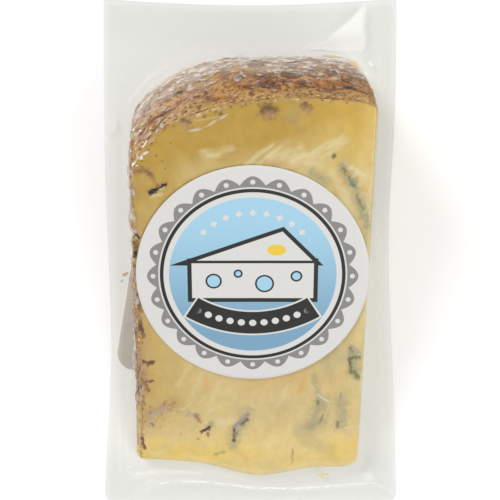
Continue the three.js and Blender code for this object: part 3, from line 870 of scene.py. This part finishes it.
WEB_RIGHT, WEB_FIRST = 27.4, 2.0


def web_edge(x):
    """Y of the line where the web meets the flange."""
    reach = np.clip((x - WEB_FIRST) / (WEB_RIGHT - WEB_FIRST), 0, 1.1)
    return 46.7 + 12.4 * reach**2.3


def web_share(x, y):
    inside = smoothstep(web_edge(x) - y, -0.4, 1.2) * smoothstep(x, WEB_FIRST, WEB_FIRST + 14)
    return inside * (1 - smoothstep(x, WEB_RIGHT - 0.8, WEB_RIGHT + 0.8)) * smoothstep(y, 46.4, 48.6)


# Painted highlights, soft and white, where the flange is drawn towards the cheese: half width, whiteness
# and path.
HIGHLIGHT_WEDGES = [
    (0.9, 0.75, [(-14.6, 43.6), (-12.0, 45.2), (-9.2, 46.4)]),
    (0.7, 0.55, [(-28.2, 35.8), (-25.6, 37.1)]),
    (0.6, 0.50, [(-34.0, 28.4), (-31.8, 30.4)]),
    (0.8, 0.35, [(-27.0, -53.6), (-20.0, -53.0), (-12.0, -53.4)]),
    (0.5, 0.45, [(-28.9, -51.9), (-27.8, -51.0)]),
]


def flange_highlights(x, y):
    """How white the flange's front film is at a place: painted highlights on the web and in soft wedges."""
    haze_and_highlights = 0.7 * web_share(x, y)
    for width, strength, path in HIGHLIGHT_WEDGES:
        haze_and_highlights = np.maximum(haze_and_highlights, strength * bell(path_distance(x, y, path), 0, width))
    return haze_and_highlights


# Whiteness of the film over the rind: milky air below it, and painted reflection and painted light.
def veil_and_reflection(points):
    """How white the film over the rind is: along the flat rind's edge, and in patches low on the rim."""
    x, y, z = points[..., 0], points[..., 1], points[..., 2]
    edge = 0.6 * smoothstep(-x, 25.2, 25.9) * bell(y, 13, 8) * smoothstep(z - face_height(y), -9, -4)
    patch = 0.7 + 0.9 * noise(points / 5 + 27.5)
    rim = 0.52 * patch * smoothstep(y, 24, 34) * (1 - smoothstep(z, 14, 34)) * smoothstep(z, 1, 5)
    return np.clip(np.maximum(edge, rim), 0, 1)


def film_on_cheese(u, v, w):
    """The film over the cheese: it bridges the rind's folds and stands off a little at its foot."""
    base = wedge_point(u, v, w)
    share = rind_share(u, v, w)
    pulled = noise(base * (0.35, 1.0, 1.0) / 1.5 + 31.7)
    relief = share * (lump_relief(base, FOLD_SOFTNESS) + 0.16 * np.abs(pulled))
    film = base + relief[..., None] * relief_direction(u, v, w)
    flare = 2 * TENT_REACH * np.exp(-film[..., 2] / TENT_HEIGHT)
    film[..., 0] += flare * (u - 0.5)
    film[..., 1] += flare * (v - 0.5)
    return film


def wrinkling(u, v, w):
    """How much the film is wrinkled where it bridges the rind's folds, with air below it."""
    place = wedge_point(u, v, w)
    corner = smoothstep(-place[..., 0], 8, 22) * (1 - 0.5 * bell(place[..., 1], -25, 12))
    outward = 1 - smoothstep(w, 0.3, 0.8)
    bridged = np.maximum(lerp(0.4, 1.0, outward) * (1 - 0.4 * smoothstep(w, 0.85, 0.97)), 0.75 * corner)
    return smoothstep(rind_share(u, v, w), 0.3, 0.85) * bridged * smoothstep(w, 0.04, 0.2)


def film_shade(x, y):
    """How much the flange darkens what lies below it, away from the cheese."""
    return np.clip(smoothstep(np.abs(y - 1), 45, 54) + smoothstep(x, 25, 29) * smoothstep(y, -6, 14), 0, 1)


def drawn_in(y, waist):
    """How far a side of the pouch is drawn in at y."""
    middle, above, below = waist
    return WAIST_DEPTH * bell(y, middle, np.where(y > middle, above, below))


def pouch_plan(u, v):
    y = lerp(POUCH_BOTTOM_Y, POUCH_TOP_Y, v)
    left = -POUCH_HALF_WIDTH + drawn_in(y, LEFT_WAIST)
    right = POUCH_HALF_WIDTH - drawn_in(y, RIGHT_WAIST)
    x = lerp(left, right, u)
    x, y = round_corner(x, y, left, POUCH_BOTTOM_Y, POUCH_CORNER)
    x, y = round_corner(x, y, right, POUCH_BOTTOM_Y, POUCH_CORNER)
    return x, y - POUCH_TOP_SAG * np.sin(np.pi * u) * v**SAG_FADE


def flange_height(x, y):
    """Height of the back film over the table away from the cheese."""
    flat = stacked(x, y, 0 * x)
    wave = 0.6 * (1 + noise(flat / 26 + 2.5)) + 0.10 * layered_noise(flat, 7, 2, 19.4)
    return FLANGE_LIFT + wave + 0.5 * bell(path_distance(x, y, FLANGE_FOLD_HIGHLIGHTS[0][-1]), 0, 1.3)


def flange_point(u, v, outward, upper):
    """A point of the flange, outward of the way from the cheese's foot to the pouch's edge."""
    foot = film_on_cheese(u, v, 0.0)
    plan = stacked(*pouch_plan(u, v), 0.0)
    point = foot + (plan - foot) * outward
    x, y = point[..., 0], point[..., 1]
    rise = smoothstep(outward, 0, LIFT_SHARE)
    point[..., 2] = lerp(BACK_FILM_Z, flange_height(x, y), rise)
    if upper:
        sealed = 1 - smoothstep(outward, 0.9, 0.98)
        web = WEB_SLOPE * np.maximum(web_edge(x) - y, 0) * web_share(x, y) * rise
        point[..., 2] += FILM_GAP * lerp(0.3, 1, sealed) + web
    return point


def pouch_film():
    us, vs = crowded(FILM_STEPS[0], 0.35), crowded(FILM_STEPS[1], 0.35)
    u, v = np.meshgrid(us, vs)
    ring_u, ring_v = perimeter(us, vs)
    levels = crowded(FILM_LEVELS)[::-1][1:-1]
    top = film_on_cheese(u, v, 1.0)
    walls = [film_on_cheese(ring_u, ring_v, w) for w in levels]
    front = [flange_point(ring_u, ring_v, share, True) for share in np.linspace(0, 1, FLANGE_STEPS + 1)]
    back = [flange_point(ring_u, ring_v, share, False) for share in np.linspace(1, 0, BACK_STEPS + 1)]

    def over_cheese(measure):
        """Numbers by point of the film over the cheese, from a function of u, v and w."""
        return np.concatenate([measure(u, v, 1.0).ravel()] + [measure(ring_u, ring_v, w) for w in levels])

    on_cheese = np.concatenate([top.reshape(-1, 3)] + walls)
    flange = np.concatenate(front + back)
    is_front = np.arange(len(flange)) < sum(map(len, front))
    haze_and_highlights = veil_and_reflection(on_cheese) * over_cheese(rind_share)
    # The haze layer holds milky air and painted reflection over the rind, and painted highlights on the
    # flange.
    layers = {
        "haze_and_highlights": np.concatenate([haze_and_highlights, flange_highlights(flange[:, 0], flange[:, 1]) * is_front]),
        "shade": np.concatenate([np.zeros(len(on_cheese)), film_shade(flange[:, 0], flange[:, 1])]),
        "wrinkles": np.concatenate([over_cheese(wrinkling), np.zeros(len(flange))]),
    }
    return closed_skin("pouch_film", top, walls + front + back, layers=layers)


def fold_ribbon(width, path, height_at, seed):
    """Points of a thin raised ribbon along a path, five to a row, and how white each is, 0 to 1, as painted
    highlight.
    """
    path = np.array(path)
    length = np.concatenate([[0], np.cumsum(np.hypot(*np.diff(path, axis=0).T))])
    way = np.linspace(0, length[-1], max(8, int(length[-1] / FOLD_STEP)) + 1)
    middle = np.stack([np.interp(way, length, path[:, 0]), np.interp(way, length, path[:, 1])], axis=-1)
    for _ in range(6):
        middle[1:-1] = (middle[:-2] + 2 * middle[1:-1] + middle[2:]) / 4
    ahead = normalized(np.gradient(middle, axis=0))
    across = np.stack([-ahead[:, 1], ahead[:, 0]], axis=-1)
    ragged = noise(stacked(way / 1.3, seed, 0.5))
    taper = np.sqrt(np.sin(np.pi * np.linspace(0.02, 0.98, len(way)))) * (1 + 0.7 * ragged)
    sway = 0.5 * width * noise(stacked(way / 2, seed, 3.5))
    offset = width * np.array(FOLD_SECTION) * taper[:, None] + sway[:, None]
    plan = middle[:, None] + offset[..., None] * across[:, None]
    raised = 0.2 * width * (1 - np.array(FOLD_SECTION) ** 2) * taper[:, None]
    height = height_at(plan[..., 0], plan[..., 1]) + raised
    white = (1 - np.abs(FOLD_SECTION)) ** 0.7 * np.clip(taper[:, None] + 0.4 * ragged[:, None], 0, 1)
    return stacked(plan[..., 0], plan[..., 1], height), white


def glint(place, height_at, chance):
    """Points of a small uneven patch: its middle and two rings round it, the outer one fully clear."""
    middle_x, middle_y, long, wide, turn = place
    around = np.linspace(0, 2 * np.pi, GLINT_SIDES + 1)[:-1] + chance.uniform(-0.3, 0.3, GLINT_SIDES)
    reach = chance.uniform(0.45, 1.25, GLINT_SIDES)
    along, across = long * reach * np.cos(around), wide * reach * np.sin(around)
    ring_x, ring_y = turned(along, across, math.radians(turn))
    x = middle_x + np.concatenate([[0], 0.8 * ring_x, 1.1 * ring_x])
    y = middle_y + np.concatenate([[0], 0.8 * ring_y, 1.1 * ring_y])
    white = np.repeat([1.0, 0.8, 0.0], (1, GLINT_SIDES, GLINT_SIDES)) * chance.uniform(0.65, 1.0)
    return stacked(x, y, height_at(x, y)), white


def film_fold_highlights():
    """Painted highlights on the film's fine folds, and its glints, just over it."""
    def over_face(x, y):
        return face_height(y) + 0.06 - EDGE_DROP * (1 - smoothstep(x, -26.5, -24.5))

    def over_flange(x, y):
        return flange_height(x, y) + FILM_GAP + 0.05

    def with_height(on_face, on_flange):
        return [(item, over_face) for item in on_face] + [(item, over_flange) for item in on_flange]

    sheets = []
    for number, ((width, strength, path), height_at) in enumerate(with_height(FACE_FOLD_HIGHLIGHTS, FLANGE_FOLD_HIGHLIGHTS)):
        ribbon, white = fold_ribbon(width, path, height_at, 5.0 * number)
        faces = grid_faces(np.arange(white.size).reshape(white.shape))[:, ::-1]
        sheets.append((ribbon.reshape(-1, 3), [faces], {"haze_and_highlights": strength * white.ravel()}))

    chance = np.random.default_rng(SEED + 2)
    inner = np.arange(1, GLINT_SIDES + 1)
    spokes = np.stack([np.zeros(GLINT_SIDES, int), inner, np.roll(inner, -1)], axis=-1)
    ring = band_faces(inner + GLINT_SIDES, inner)
    for place, height_at in with_height(FACE_GLINTS, FLANGE_GLINTS):
        patch, white = glint(place, height_at, chance)
        sheets.append((patch, [spokes, ring], {"haze_and_highlights": white}))
    return joined("film_fold_highlights", sheets)


# Smears of cheese in the flange: middle, half length and half width, turn, and colour.
SMEARS = [
    ((24.6, 44.4), (2.4, 1.0), -24, colour(236, 208, 128)),
    ((19.6, 46.2), (3.4, 0.4), -6, colour(226, 196, 120)),
    ((-29.8, -5.8), (1.1, 0.5), 20, colour(176, 132, 56)),
    ((-30.6, -7.4), (0.5, 0.3), 60, colour(196, 158, 84)),
    ((17.4, -53.7), (2.2, 0.5), 4, colour(232, 206, 128)),
    ((-25.6, 28.6), (0.9, 0.5), 50, colour(190, 140, 90)),
]
SMEAR_STEPS = 14


def cheese_smears():
    steps = np.linspace(0, 1, SMEAR_STEPS + 1)
    x, y = disc_plan(*np.meshgrid(steps, steps), 1.0)
    reach = np.hypot(x, y)
    faces = grid_faces(np.arange(x.size).reshape(x.shape))
    sheets = []
    for number, ((middle_x, middle_y), (long, wide), turn, tone) in enumerate(SMEARS):
        bulge = 1 + 0.5 * noise(stacked(2 * x, 2 * y, 3.3 * number))
        along, across = turned(x * long * bulge, y * wide * bulge, math.radians(turn))
        place_x, place_y = middle_x + along, middle_y + across
        height = flange_height(place_x, place_y) + FILM_GAP / 2 + 0.08 * (1 - reach**2)
        patchy = 0.8 + 0.6 * noise(stacked(4 * x, 4 * y, number))
        cover = np.clip((1 - smoothstep(reach, 0.35, 1.0)) * patchy, 0, 1)
        layers = {"cover": cover.ravel(), "paint": np.broadcast_to(tone, (x.size, 4))}
        sheets.append((stacked(place_x, place_y, height).reshape(-1, 3), [faces], layers))
    return joined("cheese_smears", sheets)


# ---------------------------------------------------------------- labels

DISC_STEPS = 60
LABEL_THICKNESS = 0.14
LABEL_LIFT = 0.22
BACK_LABEL_THICKNESS = 0.24
BACK_LABEL_LIFT = 0.02
EDGE_ROUND = 0.05


def disc_plan(u, v, radius):
    """A square grid from 0 to 1 pressed into a disc."""
    a, b = 2 * u - 1, 2 * v - 1
    return radius * a * np.sqrt(1 - b * b / 2), radius * b * np.sqrt(1 - a * a / 2)


def label_body(name, plan, place, lift, thickness):
    """A thin plate with rounded edges. plan gives x and y at u and v, and place puts them in the part."""
    steps = np.linspace(0, 1, DISC_STEPS + 1)
    x, y = plan(*np.meshgrid(steps, steps))
    ring_x, ring_y = plan(*perimeter(steps, steps))
    shrunk = 1 - EDGE_ROUND / LABEL_RADIUS
    top = place(x * shrunk, y * shrunk, lift + thickness)
    edge = [place(ring_x, ring_y, lift + thickness - EDGE_ROUND), place(ring_x, ring_y, lift + EDGE_ROUND)]
    bottom = place(x * shrunk, y * shrunk, lift)
    sheet, rim = stacked(x, y, 0.0).reshape(-1, 3), stacked(ring_x, ring_y, 0.0)
    return closed_skin(name, top, edge, bottom, {"print_plane": np.concatenate([sheet, rim, rim, sheet])})


def front_label():
    def plan(u, v):
        return disc_plan(u, v, LABEL_RADIUS)

    def place(x, y, height):
        raised = height + 0.10 * noise(stacked(x, y, 0 * x) / 13 + 9.1)
        along = y * math.cos(WEDGE_ANGLE) - raised * math.sin(WEDGE_ANGLE)
        up = y * math.sin(WEDGE_ANGLE) + raised * math.cos(WEDGE_ANGLE)
        return stacked(LABEL_X + x, LABEL_Y + along, face_height(LABEL_Y) + up)

    return label_body("printed_front_label", plan, place, LABEL_LIFT, LABEL_THICKNESS)


def back_label():
    def plan(u, v):
        half_width, half_height = BACK_WIDTH / 2, BACK_HEIGHT / 2
        x, y = lerp(-half_width, half_width, u), lerp(-half_height, half_height, v)
        for side in (-1, 1):
            for end in (-1, 1):
                x, y = round_corner(x, y, side * half_width, end * half_height, (BACK_CORNER, BACK_CORNER))
        return x, y

    def place(x, y, z):
        along, across = turned(x, y, BACK_TURN)
        return stacked(BACK_X + along, BACK_Y + across, z)

    return label_body("printed_back_label", plan, place, BACK_LABEL_LIFT, BACK_LABEL_THICKNESS)


# ---------------------------------------------------------------- materials

class Wire:
    """A value in a material, so that sums of values can be written as such."""

    def __init__(self, graph, socket):
        self.graph, self.socket = graph, socket

    def math(self, operation, *others):
        return self.graph.node("Math", dict(enumerate((self, *others))), operation=operation)

    def __add__(self, other):
        return self.math("ADD", other)

    def __sub__(self, other):
        return self.math("SUBTRACT", other)

    def __rsub__(self, other):
        return self.graph.node("Math", {0: other, 1: self}, operation="SUBTRACT")

    def __mul__(self, other):
        return self.math("MULTIPLY", other)

    __radd__, __rmul__ = __add__, __mul__

    def ramp(self, low, high, start=0.0, end=1.0):
        """The value's smooth way from low to high, as start to end."""
        ends = {"Value": self, "From Min": low, "From Max": high, "To Min": start, "To Max": end}
        return self.graph.node("MapRange", ends, interpolation_type="SMOOTHSTEP")

    def below(self, limit, soft=0.05):
        """1 where the value is under limit and 0 over it, with an edge of that softness."""
        return self.ramp(limit - soft, limit + soft, 1.0, 0.0)


class Graph:
    """The nodes of one material."""

    def __init__(self, name):
        self.material = bpy.data.materials.new(name)
        self.material.use_nodes = True
        self.tree = self.material.node_tree
        self.tree.nodes.clear()

    def node(self, kind, inputs, output=0, **settings):
        made = self.tree.nodes.new("ShaderNode" + kind)
        for key, value in settings.items():
            setattr(made, key, value)
        for key, value in inputs.items():
            if isinstance(value, Wire):
                self.tree.links.new(value.socket, made.inputs[key])
            else:
                made.inputs[key].default_value = value
        return Wire(self, made.outputs[output])

    def axes(self, vector):
        parts = self.node("SeparateXYZ", {0: vector}).socket.node.outputs
        return [Wire(self, part) for part in parts]

    def noise(self, size, detail=2.0, roughness=0.5, place=None):
        """Noise from 0 to 1 with swellings of that size. A place that is given is in millimetres too."""
        unit = 1.0 if place else METRES
        place = place or self.node("TexCoord", {}, "Object")
        inputs = {"Vector": place, "Scale": 1 / (size * unit), "Detail": detail, "Roughness": roughness}
        return self.node("TexNoise", inputs)

    def along_rind(self, share):
        """Place in millimetres, its x and y cut to a share so that noise is longer along the rind."""
        place = self.node("TexCoord", {}, "Object")
        scale = (share / METRES, share / METRES, 1 / METRES)
        return self.node("VectorMath", {0: place, 1: scale}, operation="MULTIPLY")

    def attribute(self, name, output="Fac"):
        return self.node("Attribute", {}, output, attribute_name=name)

    def mix(self, share, first, second, blend="MIX"):
        """A colour that is first where share is 0 and second where it is 1."""
        inputs = {0: share, 6: first, 7: second}
        return self.node("Mix", inputs, 2, data_type="RGBA", blend_type=blend, clamp_factor=True)

    def coated(self, tone, coats):
        """A colour with coats of (share, colour) laid over it in turn."""
        for share, coat in coats:
            tone = self.mix(share, tone, coat)
        return tone

    def mottled(self, tone, share, pattern, dark, bright):
        """A colour shaded, by that share, from dark where the pattern is 0 to bright where it is 1."""
        return self.mix(share, tone, self.mix(pattern, (*dark, 1), (*bright, 1)), "MULTIPLY")

    def partly(self, share, shader):
        """The shader where share is 1, and nothing where it is 0."""
        clear = self.node("BsdfTransparent", {"Color": (1, 1, 1, 1)})
        return self.node("MixShader", {0: share, 1: clear, 2: shader})

    def bump(self, height, distance):
        """Height counts in units of distance, which is in millimetres."""
        inputs = {"Height": height, "Distance": distance * METRES, "Strength": 1.0}
        return self.node("Bump", inputs, "Normal")

    def finish(self, shader):
        output = self.tree.nodes.new("ShaderNodeOutputMaterial")
        self.tree.links.new(shader.socket, output.inputs["Surface"])
        return self.material


FILM_GLOSS = 0.03  # share of light that the film reflects where it is looked at squarely
FILM_GRAZING = 0.10  # what comes on top of that where it is seen edge-on
FILM_TINT = (0.938, 0.94, 0.926, 1)
FILM_SHADE = (0.908, 0.912, 0.896, 1)
# White of the film's haze and of its folds and glints: milky air, and painted highlights and reflections.
MILK_AND_HIGHLIGHT = (0.93, 0.93, 0.905, 1)
# Warmer tone of that white over the rind, for air pockets and painted sheen.
AIR_AND_SHEEN = (0.74, 0.65, 0.56, 1)
AIR_AND_SHEEN_COVER, CREASE_GLINT_COVER = 0.6, 0.4  # how far the film's air pockets, with painted sheen, and its creases' painted glints hide the rind


def film_material():
    graph = Graph("clear_film")
    wrinkles = graph.attribute("wrinkles")
    place = graph.along_rind(0.8)
    pulled = graph.noise(1.9, 3.0, 0.55, place)
    # Whitish patches and thin crease lines over the rind: air pockets with painted sheen, and painted
    # glints.
    air = (pulled + wrinkles * 0.15).ramp(0.6, 0.78) * AIR_AND_SHEEN_COVER
    line = (graph.noise(3.4, 1.0, 0.5, place) - 0.5).math("ABSOLUTE").ramp(0.004, 0.022, 1.0, 0.0)
    crease_glints = line * graph.noise(4.4, 2.0, 0.5, place).ramp(0.48, 0.58) * CREASE_GLINT_COVER
    normal = graph.bump(graph.noise(2.2, 3.0, 0.55) * 0.04 + wrinkles * pulled * 0.4, 1.0)
    level = graph.axes(graph.along_rind(1.0))[2]
    tint = graph.mix(graph.attribute("shade"), FILM_TINT, FILM_SHADE)
    clear = graph.node("BsdfTransparent", {"Color": tint})
    milk_and_highlight = graph.node("BsdfDiffuse", {"Color": graph.mix(wrinkles.ramp(0.02, 0.2), MILK_AND_HIGHLIGHT, AIR_AND_SHEEN)})
    haze_and_highlights = graph.attribute("haze_and_highlights") + wrinkles.ramp(0.25, 0.5) * air.math("MAXIMUM", crease_glints)
    film = graph.node("MixShader", {0: haze_and_highlights, 1: clear, 2: milk_and_highlight})
    shine = {"Color": (1, 1, 1, 1), "Roughness": level.ramp(2.0, 6.0, 0.4, 0.12), "Normal": normal}
    gloss = graph.node("BsdfAnisotropic", shine)
    facing = graph.node("LayerWeight", {"Blend": 0.5, "Normal": normal}, "Facing")
    share = (facing.math("POWER", 5.0) * FILM_GRAZING + FILM_GLOSS) * (1 - wrinkles * 0.5)
    return graph.finish(graph.node("MixShader", {0: share, 1: film, 2: gloss}))


def fold_highlight_material():
    graph = Graph("film_fold_highlights")
    normal = graph.bump(graph.noise(0.8, 2.0), 0.05)
    milk_and_highlight = graph.node("BsdfPrincipled", {"Base Color": MILK_AND_HIGHLIGHT, "Roughness": 0.3, "Normal": normal})
    return graph.finish(graph.partly(graph.attribute("haze_and_highlights"), milk_and_highlight))


def smear_material():
    graph = Graph("cheese_smears")
    paint = graph.attribute("paint", "Color")
    tone = graph.mottled(paint, 1.0, graph.noise(0.6, 3.0), (0.85, 0.83, 0.78), (1.1, 1.1, 1.1))
    paste = graph.node("BsdfPrincipled", {"Base Color": tone, "Roughness": 0.5})
    return graph.finish(graph.partly(graph.attribute("cover"), paste))


def paste_material():
    graph = Graph("cheese_paste")
    paint = graph.attribute("paint", "Color")
    mottle = graph.noise(1.1, 4.0, 0.6)
    inputs = {
        "Base Color": graph.mottled(paint, 0.5, mottle, (0.86, 0.85, 0.80), (1.12, 1.12, 1.14)),
        "Roughness": 0.5,
        "Subsurface Weight": 0.2,
        "Subsurface Radius": (1.0, 0.7, 0.35),
        "Subsurface Scale": 1.2 * METRES,
        "Normal": graph.bump(graph.noise(0.5, 3.0, 0.6), 0.03),
    }
    return graph.finish(graph.node("BsdfPrincipled", inputs))


def rind_material():
    graph = Graph("cheese_rind")
    paint = graph.attribute("paint", "Color")
    place = graph.along_rind(RIND_GRAIN[0])
    grit = graph.noise(0.5, 3.0, 0.6, place).ramp(0.3, 0.7)
    hollow = graph.noise(2.2, 3.0, 0.6, place).ramp(0.32, 0.43, 1.0, 0.0)
    crumb = graph.noise(1.6, 3.0, 0.6, place).ramp(0.56, 0.66)
    tone = graph.coated(paint, [(crumb * 0.25, RIND_GOLD), (hollow * 0.45, RIND_UMBER)])
    tone = graph.mottled(tone, 0.85, grit, (0.7, 0.64, 0.58), (1.42, 1.43, 1.38))
    normal = graph.bump(grit * 0.4 + crumb * 0.4 - hollow * 0.8, 0.3)
    inputs = {"Base Color": tone, "Roughness": 0.75, "Specular IOR Level": 0.15, "Normal": normal}
    return graph.finish(graph.node("BsdfPrincipled", inputs))


PAPER = colour(216, 215, 211)
GREY = colour(136, 134, 131)
INK = colour(30, 31, 29)
SKY_TOP = colour(162, 206, 228)
SKY_LOW = colour(122, 162, 188)
SUN = colour(232, 198, 60)
BACK_PAPER = colour(222, 214, 210)

SCALLOPS = 12  # in half a turn
SPOT_RADIUS = 21.9  # of the circle of spots in the scallops
DIAMOND_RADIUS = 14.9
DRAWN_HALF, DRAWN_EDGE = 13.5, 3.4  # half width of the drawn wedge, and y where its side meets its top
DRAWN_HOLES = [(-8.6, -1.2, 1.8), (-3.2, 0.6, 1.0), (2.6, -1.8, 2.1), (9.6, 0.0, 1.3)]  # x, y and size
RIBBON_Y, RIBBON_RADIUS, RIBBON_SWING = 14.0, 25.4, 0.56
LINE_STEP = 3.0  # between the back label's lines


def dots(around, angle_step, radial, radius):
    """Squared distance and plain arc distance to the nearest of many spots on a circle."""
    wave = (around * (math.pi / angle_step)).math("COSINE").math("ABSOLUTE")
    arc_squared = (1 - wave) * (2 * (radius * angle_step / math.pi) ** 2)
    return radial * radial + arc_squared, arc_squared.math("SQRT")


def ring_coats(graph, x, y):
    """The print's rings: scallops with spots, a dark ring, and a blue disc with a row of diamonds."""
    radius = (x * x + y * y).math("SQRT")
    around = x.math("ARCTAN2", y)
    scallop = (around * SCALLOPS).math("COSINE").math("ABSOLUTE")
    spot, _ = dots(around, math.pi / SCALLOPS, radius - SPOT_RADIUS, SPOT_RADIUS)
    _, arc = dots(around, 0.2, radius, DIAMOND_RADIUS)
    diamond = (radius - DIAMOND_RADIUS).math("ABSOLUTE") + arc
    return [
        ((radius - scallop * 1.9).below(21.3), GREY),
        (spot.below(0.30, 0.06), PAPER),
        (radius.below(20.75), PAPER),
        (radius.below(20.4), INK),
        (radius.below(19.6), PAPER),
        (radius.below(18.4), graph.mix(y.ramp(-16.0, 16.0), SKY_LOW, SKY_TOP)),
        (diamond.below(0.8) * around.math("ABSOLUTE").below(0.95), PAPER),
    ]


def wedge_coats(x, y):
    """The print's drawing of a wedge of cheese with holes, and a yellow spot on its top."""
    side = (x.math("ABSOLUTE") - DRAWN_HALF).math("MAXIMUM", (y + 1.0).math("ABSOLUTE") - 4.4)
    top_left = (y - DRAWN_EDGE) * 0.94 - (x + DRAWN_HALF) * 0.343
    top_right = (x - DRAWN_HALF) * 0.72 + (y - DRAWN_EDGE) * 0.695
    top = top_left.math("MAXIMUM", top_right).math("MAXIMUM", DRAWN_EDGE - y)
    wedge = side.math("MINIMUM", top)
    coats = [
        (wedge.below(0.85), INK),
        (wedge.below(-0.1), PAPER),
        ((y - DRAWN_EDGE).math("ABSOLUTE").below(0.32) * wedge.below(0.0), INK),
    ]
    for hole_x, hole_y, size in DRAWN_HOLES:
        away = ((x - hole_x) * (x - hole_x) + (y - hole_y) * (y - hole_y)).math("SQRT")
        coats += [(away.below(size), INK), (away.below(size - 0.4), SKY_TOP)]
    flat = ((x - 5.2) * (x - 5.2) * 0.4 + (y - 6.2) * (y - 6.2)).math("SQRT")
    return coats + [(flat.below(1.3), SUN)]


def ribbon_coats(x, y):
    """The print's curved dark ribbon with dots."""
    lifted = RIBBON_Y - y
    radial = (x * x + lifted * lifted).math("SQRT") - RIBBON_RADIUS
    swing = x.math("ARCTAN2", lifted)
    end = (swing.math("ABSOLUTE") - RIBBON_SWING) * RIBBON_RADIUS + 2.7
    ribbon = radial.math("ABSOLUTE").math("MAXIMUM", end)
    spot, _ = dots(swing, 0.1, radial, RIBBON_RADIUS)
    return [
        (ribbon.below(3.1), PAPER),
        (ribbon.below(2.7), INK),
        (spot.below(0.6, 0.1) * swing.math("ABSOLUTE").below(0.46), PAPER),
    ]


def front_label_material():
    graph = Graph("printed_label_paper")
    x, y, _ = graph.axes(graph.attribute("print_plane", "Vector"))
    tone = graph.coated(PAPER, ring_coats(graph, x, y) + wedge_coats(x, y) + ribbon_coats(x, y))
    tone = graph.mottled(tone, 1.0, graph.noise(0.35, 2.0), (0.97, 0.97, 0.97), (1.02, 1.02, 1.02))
    inputs = {"Base Color": tone, "Roughness": 0.42, "Normal": graph.bump(graph.noise(1.4, 2.0), 0.01)}
    return graph.finish(graph.node("BsdfPrincipled", inputs))


def back_label_material():
    graph = Graph("printed_back_paper")
    x, y, _ = graph.axes(graph.attribute("print_plane", "Vector"))
    line = (y * (math.pi / LINE_STEP)).math("COSINE").below(-0.55, 0.04)
    text = line * x.math("ABSOLUTE").below(19.0) * (y - 2.0).math("ABSOLUTE").below(13.0)
    tone = graph.mix(text * 0.4, BACK_PAPER, GREY)
    tone = graph.mottled(tone, 1.0, graph.noise(0.35, 2.0), (0.96, 0.96, 0.96), (1.02, 1.02, 1.02))
    return graph.finish(graph.node("BsdfPrincipled", {"Base Color": tone, "Roughness": 0.6}))


# ---------------------------------------------------------------- stage

FLOOR_HALF, FLOOR_Z = 2000.0, -0.02
FLOOR_GLOW = 0.36
SKY_STRENGTH = 0.6
LAMPS = {"key": ((-420, 420, 620), 300, 3.2), "fill": ((420, -380, 620), 420, 2.2)}  # place, side and power
LAMP_AIM = (0, 0, 15)
NEAREST_SEEN = 0.01


def floor():
    corners = [(-1, -1), (1, -1), (1, 1), (-1, 1)]
    points = np.array([(x * FLOOR_HALF, y * FLOOR_HALF, FLOOR_Z) for x, y in corners])
    made = mesh_object("floor", points, [[0, 1, 2, 3]])
    graph = Graph("floor")
    inputs = {
        "Base Color": graph.mix(graph.noise(400.0), (0.65, 0.65, 0.65, 1), (0.67, 0.67, 0.67, 1)),
        "Roughness": 0.9,
        "Emission Color": (1, 1, 1, 1),
        "Emission Strength": FLOOR_GLOW,
    }
    made.data.materials.append(graph.finish(graph.node("BsdfPrincipled", inputs)))


def lights():
    world = bpy.data.worlds.new("studio")
    world.use_nodes = True
    back = world.node_tree.nodes["Background"]
    back.inputs["Color"].default_value = (1, 1, 1, 1)
    back.inputs["Strength"].default_value = SKY_STRENGTH
    bpy.context.scene.world = world
    for name, (place, side, power) in LAMPS.items():
        data = bpy.data.lights.new(name, "AREA")
        data.size, data.energy = side * METRES, power
        made = linked(name, data)
        made.location = Vector(place) * METRES
        made.rotation_euler = (Vector(LAMP_AIM) - Vector(place)).to_track_quat("-Z", "Y").to_euler()
        made.visible_camera = False


def camera():
    data = bpy.data.cameras.new("camera")
    data.lens, data.sensor_width, data.clip_start = CAMERA_LENS, CAMERA_SENSOR, NEAREST_SEEN
    made = linked("camera", data)
    made.location = (0, 0, CAMERA_HEIGHT * METRES)
    bpy.context.scene.camera = made


# ---------------------------------------------------------------- assembly

def dress(piece, material, node):
    piece.data.materials.append(material)
    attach(piece, "root")
    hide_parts(node)


camera()
lights()
floor()
dress(cheese_paste(), paste_material(), "sealed_pouch")
dress(cheese_rind(), rind_material(), "sealed_pouch")
dress(pouch_film(), film_material(), "sealed_pouch")
dress(film_fold_highlights(), fold_highlight_material(), "sealed_pouch")
dress(cheese_smears(), smear_material(), "sealed_pouch")
dress(front_label(), front_label_material(), "front_label")
dress(back_label(), back_label_material(), "back_label")
bpy.context.scene.view_settings.view_transform = "Standard"
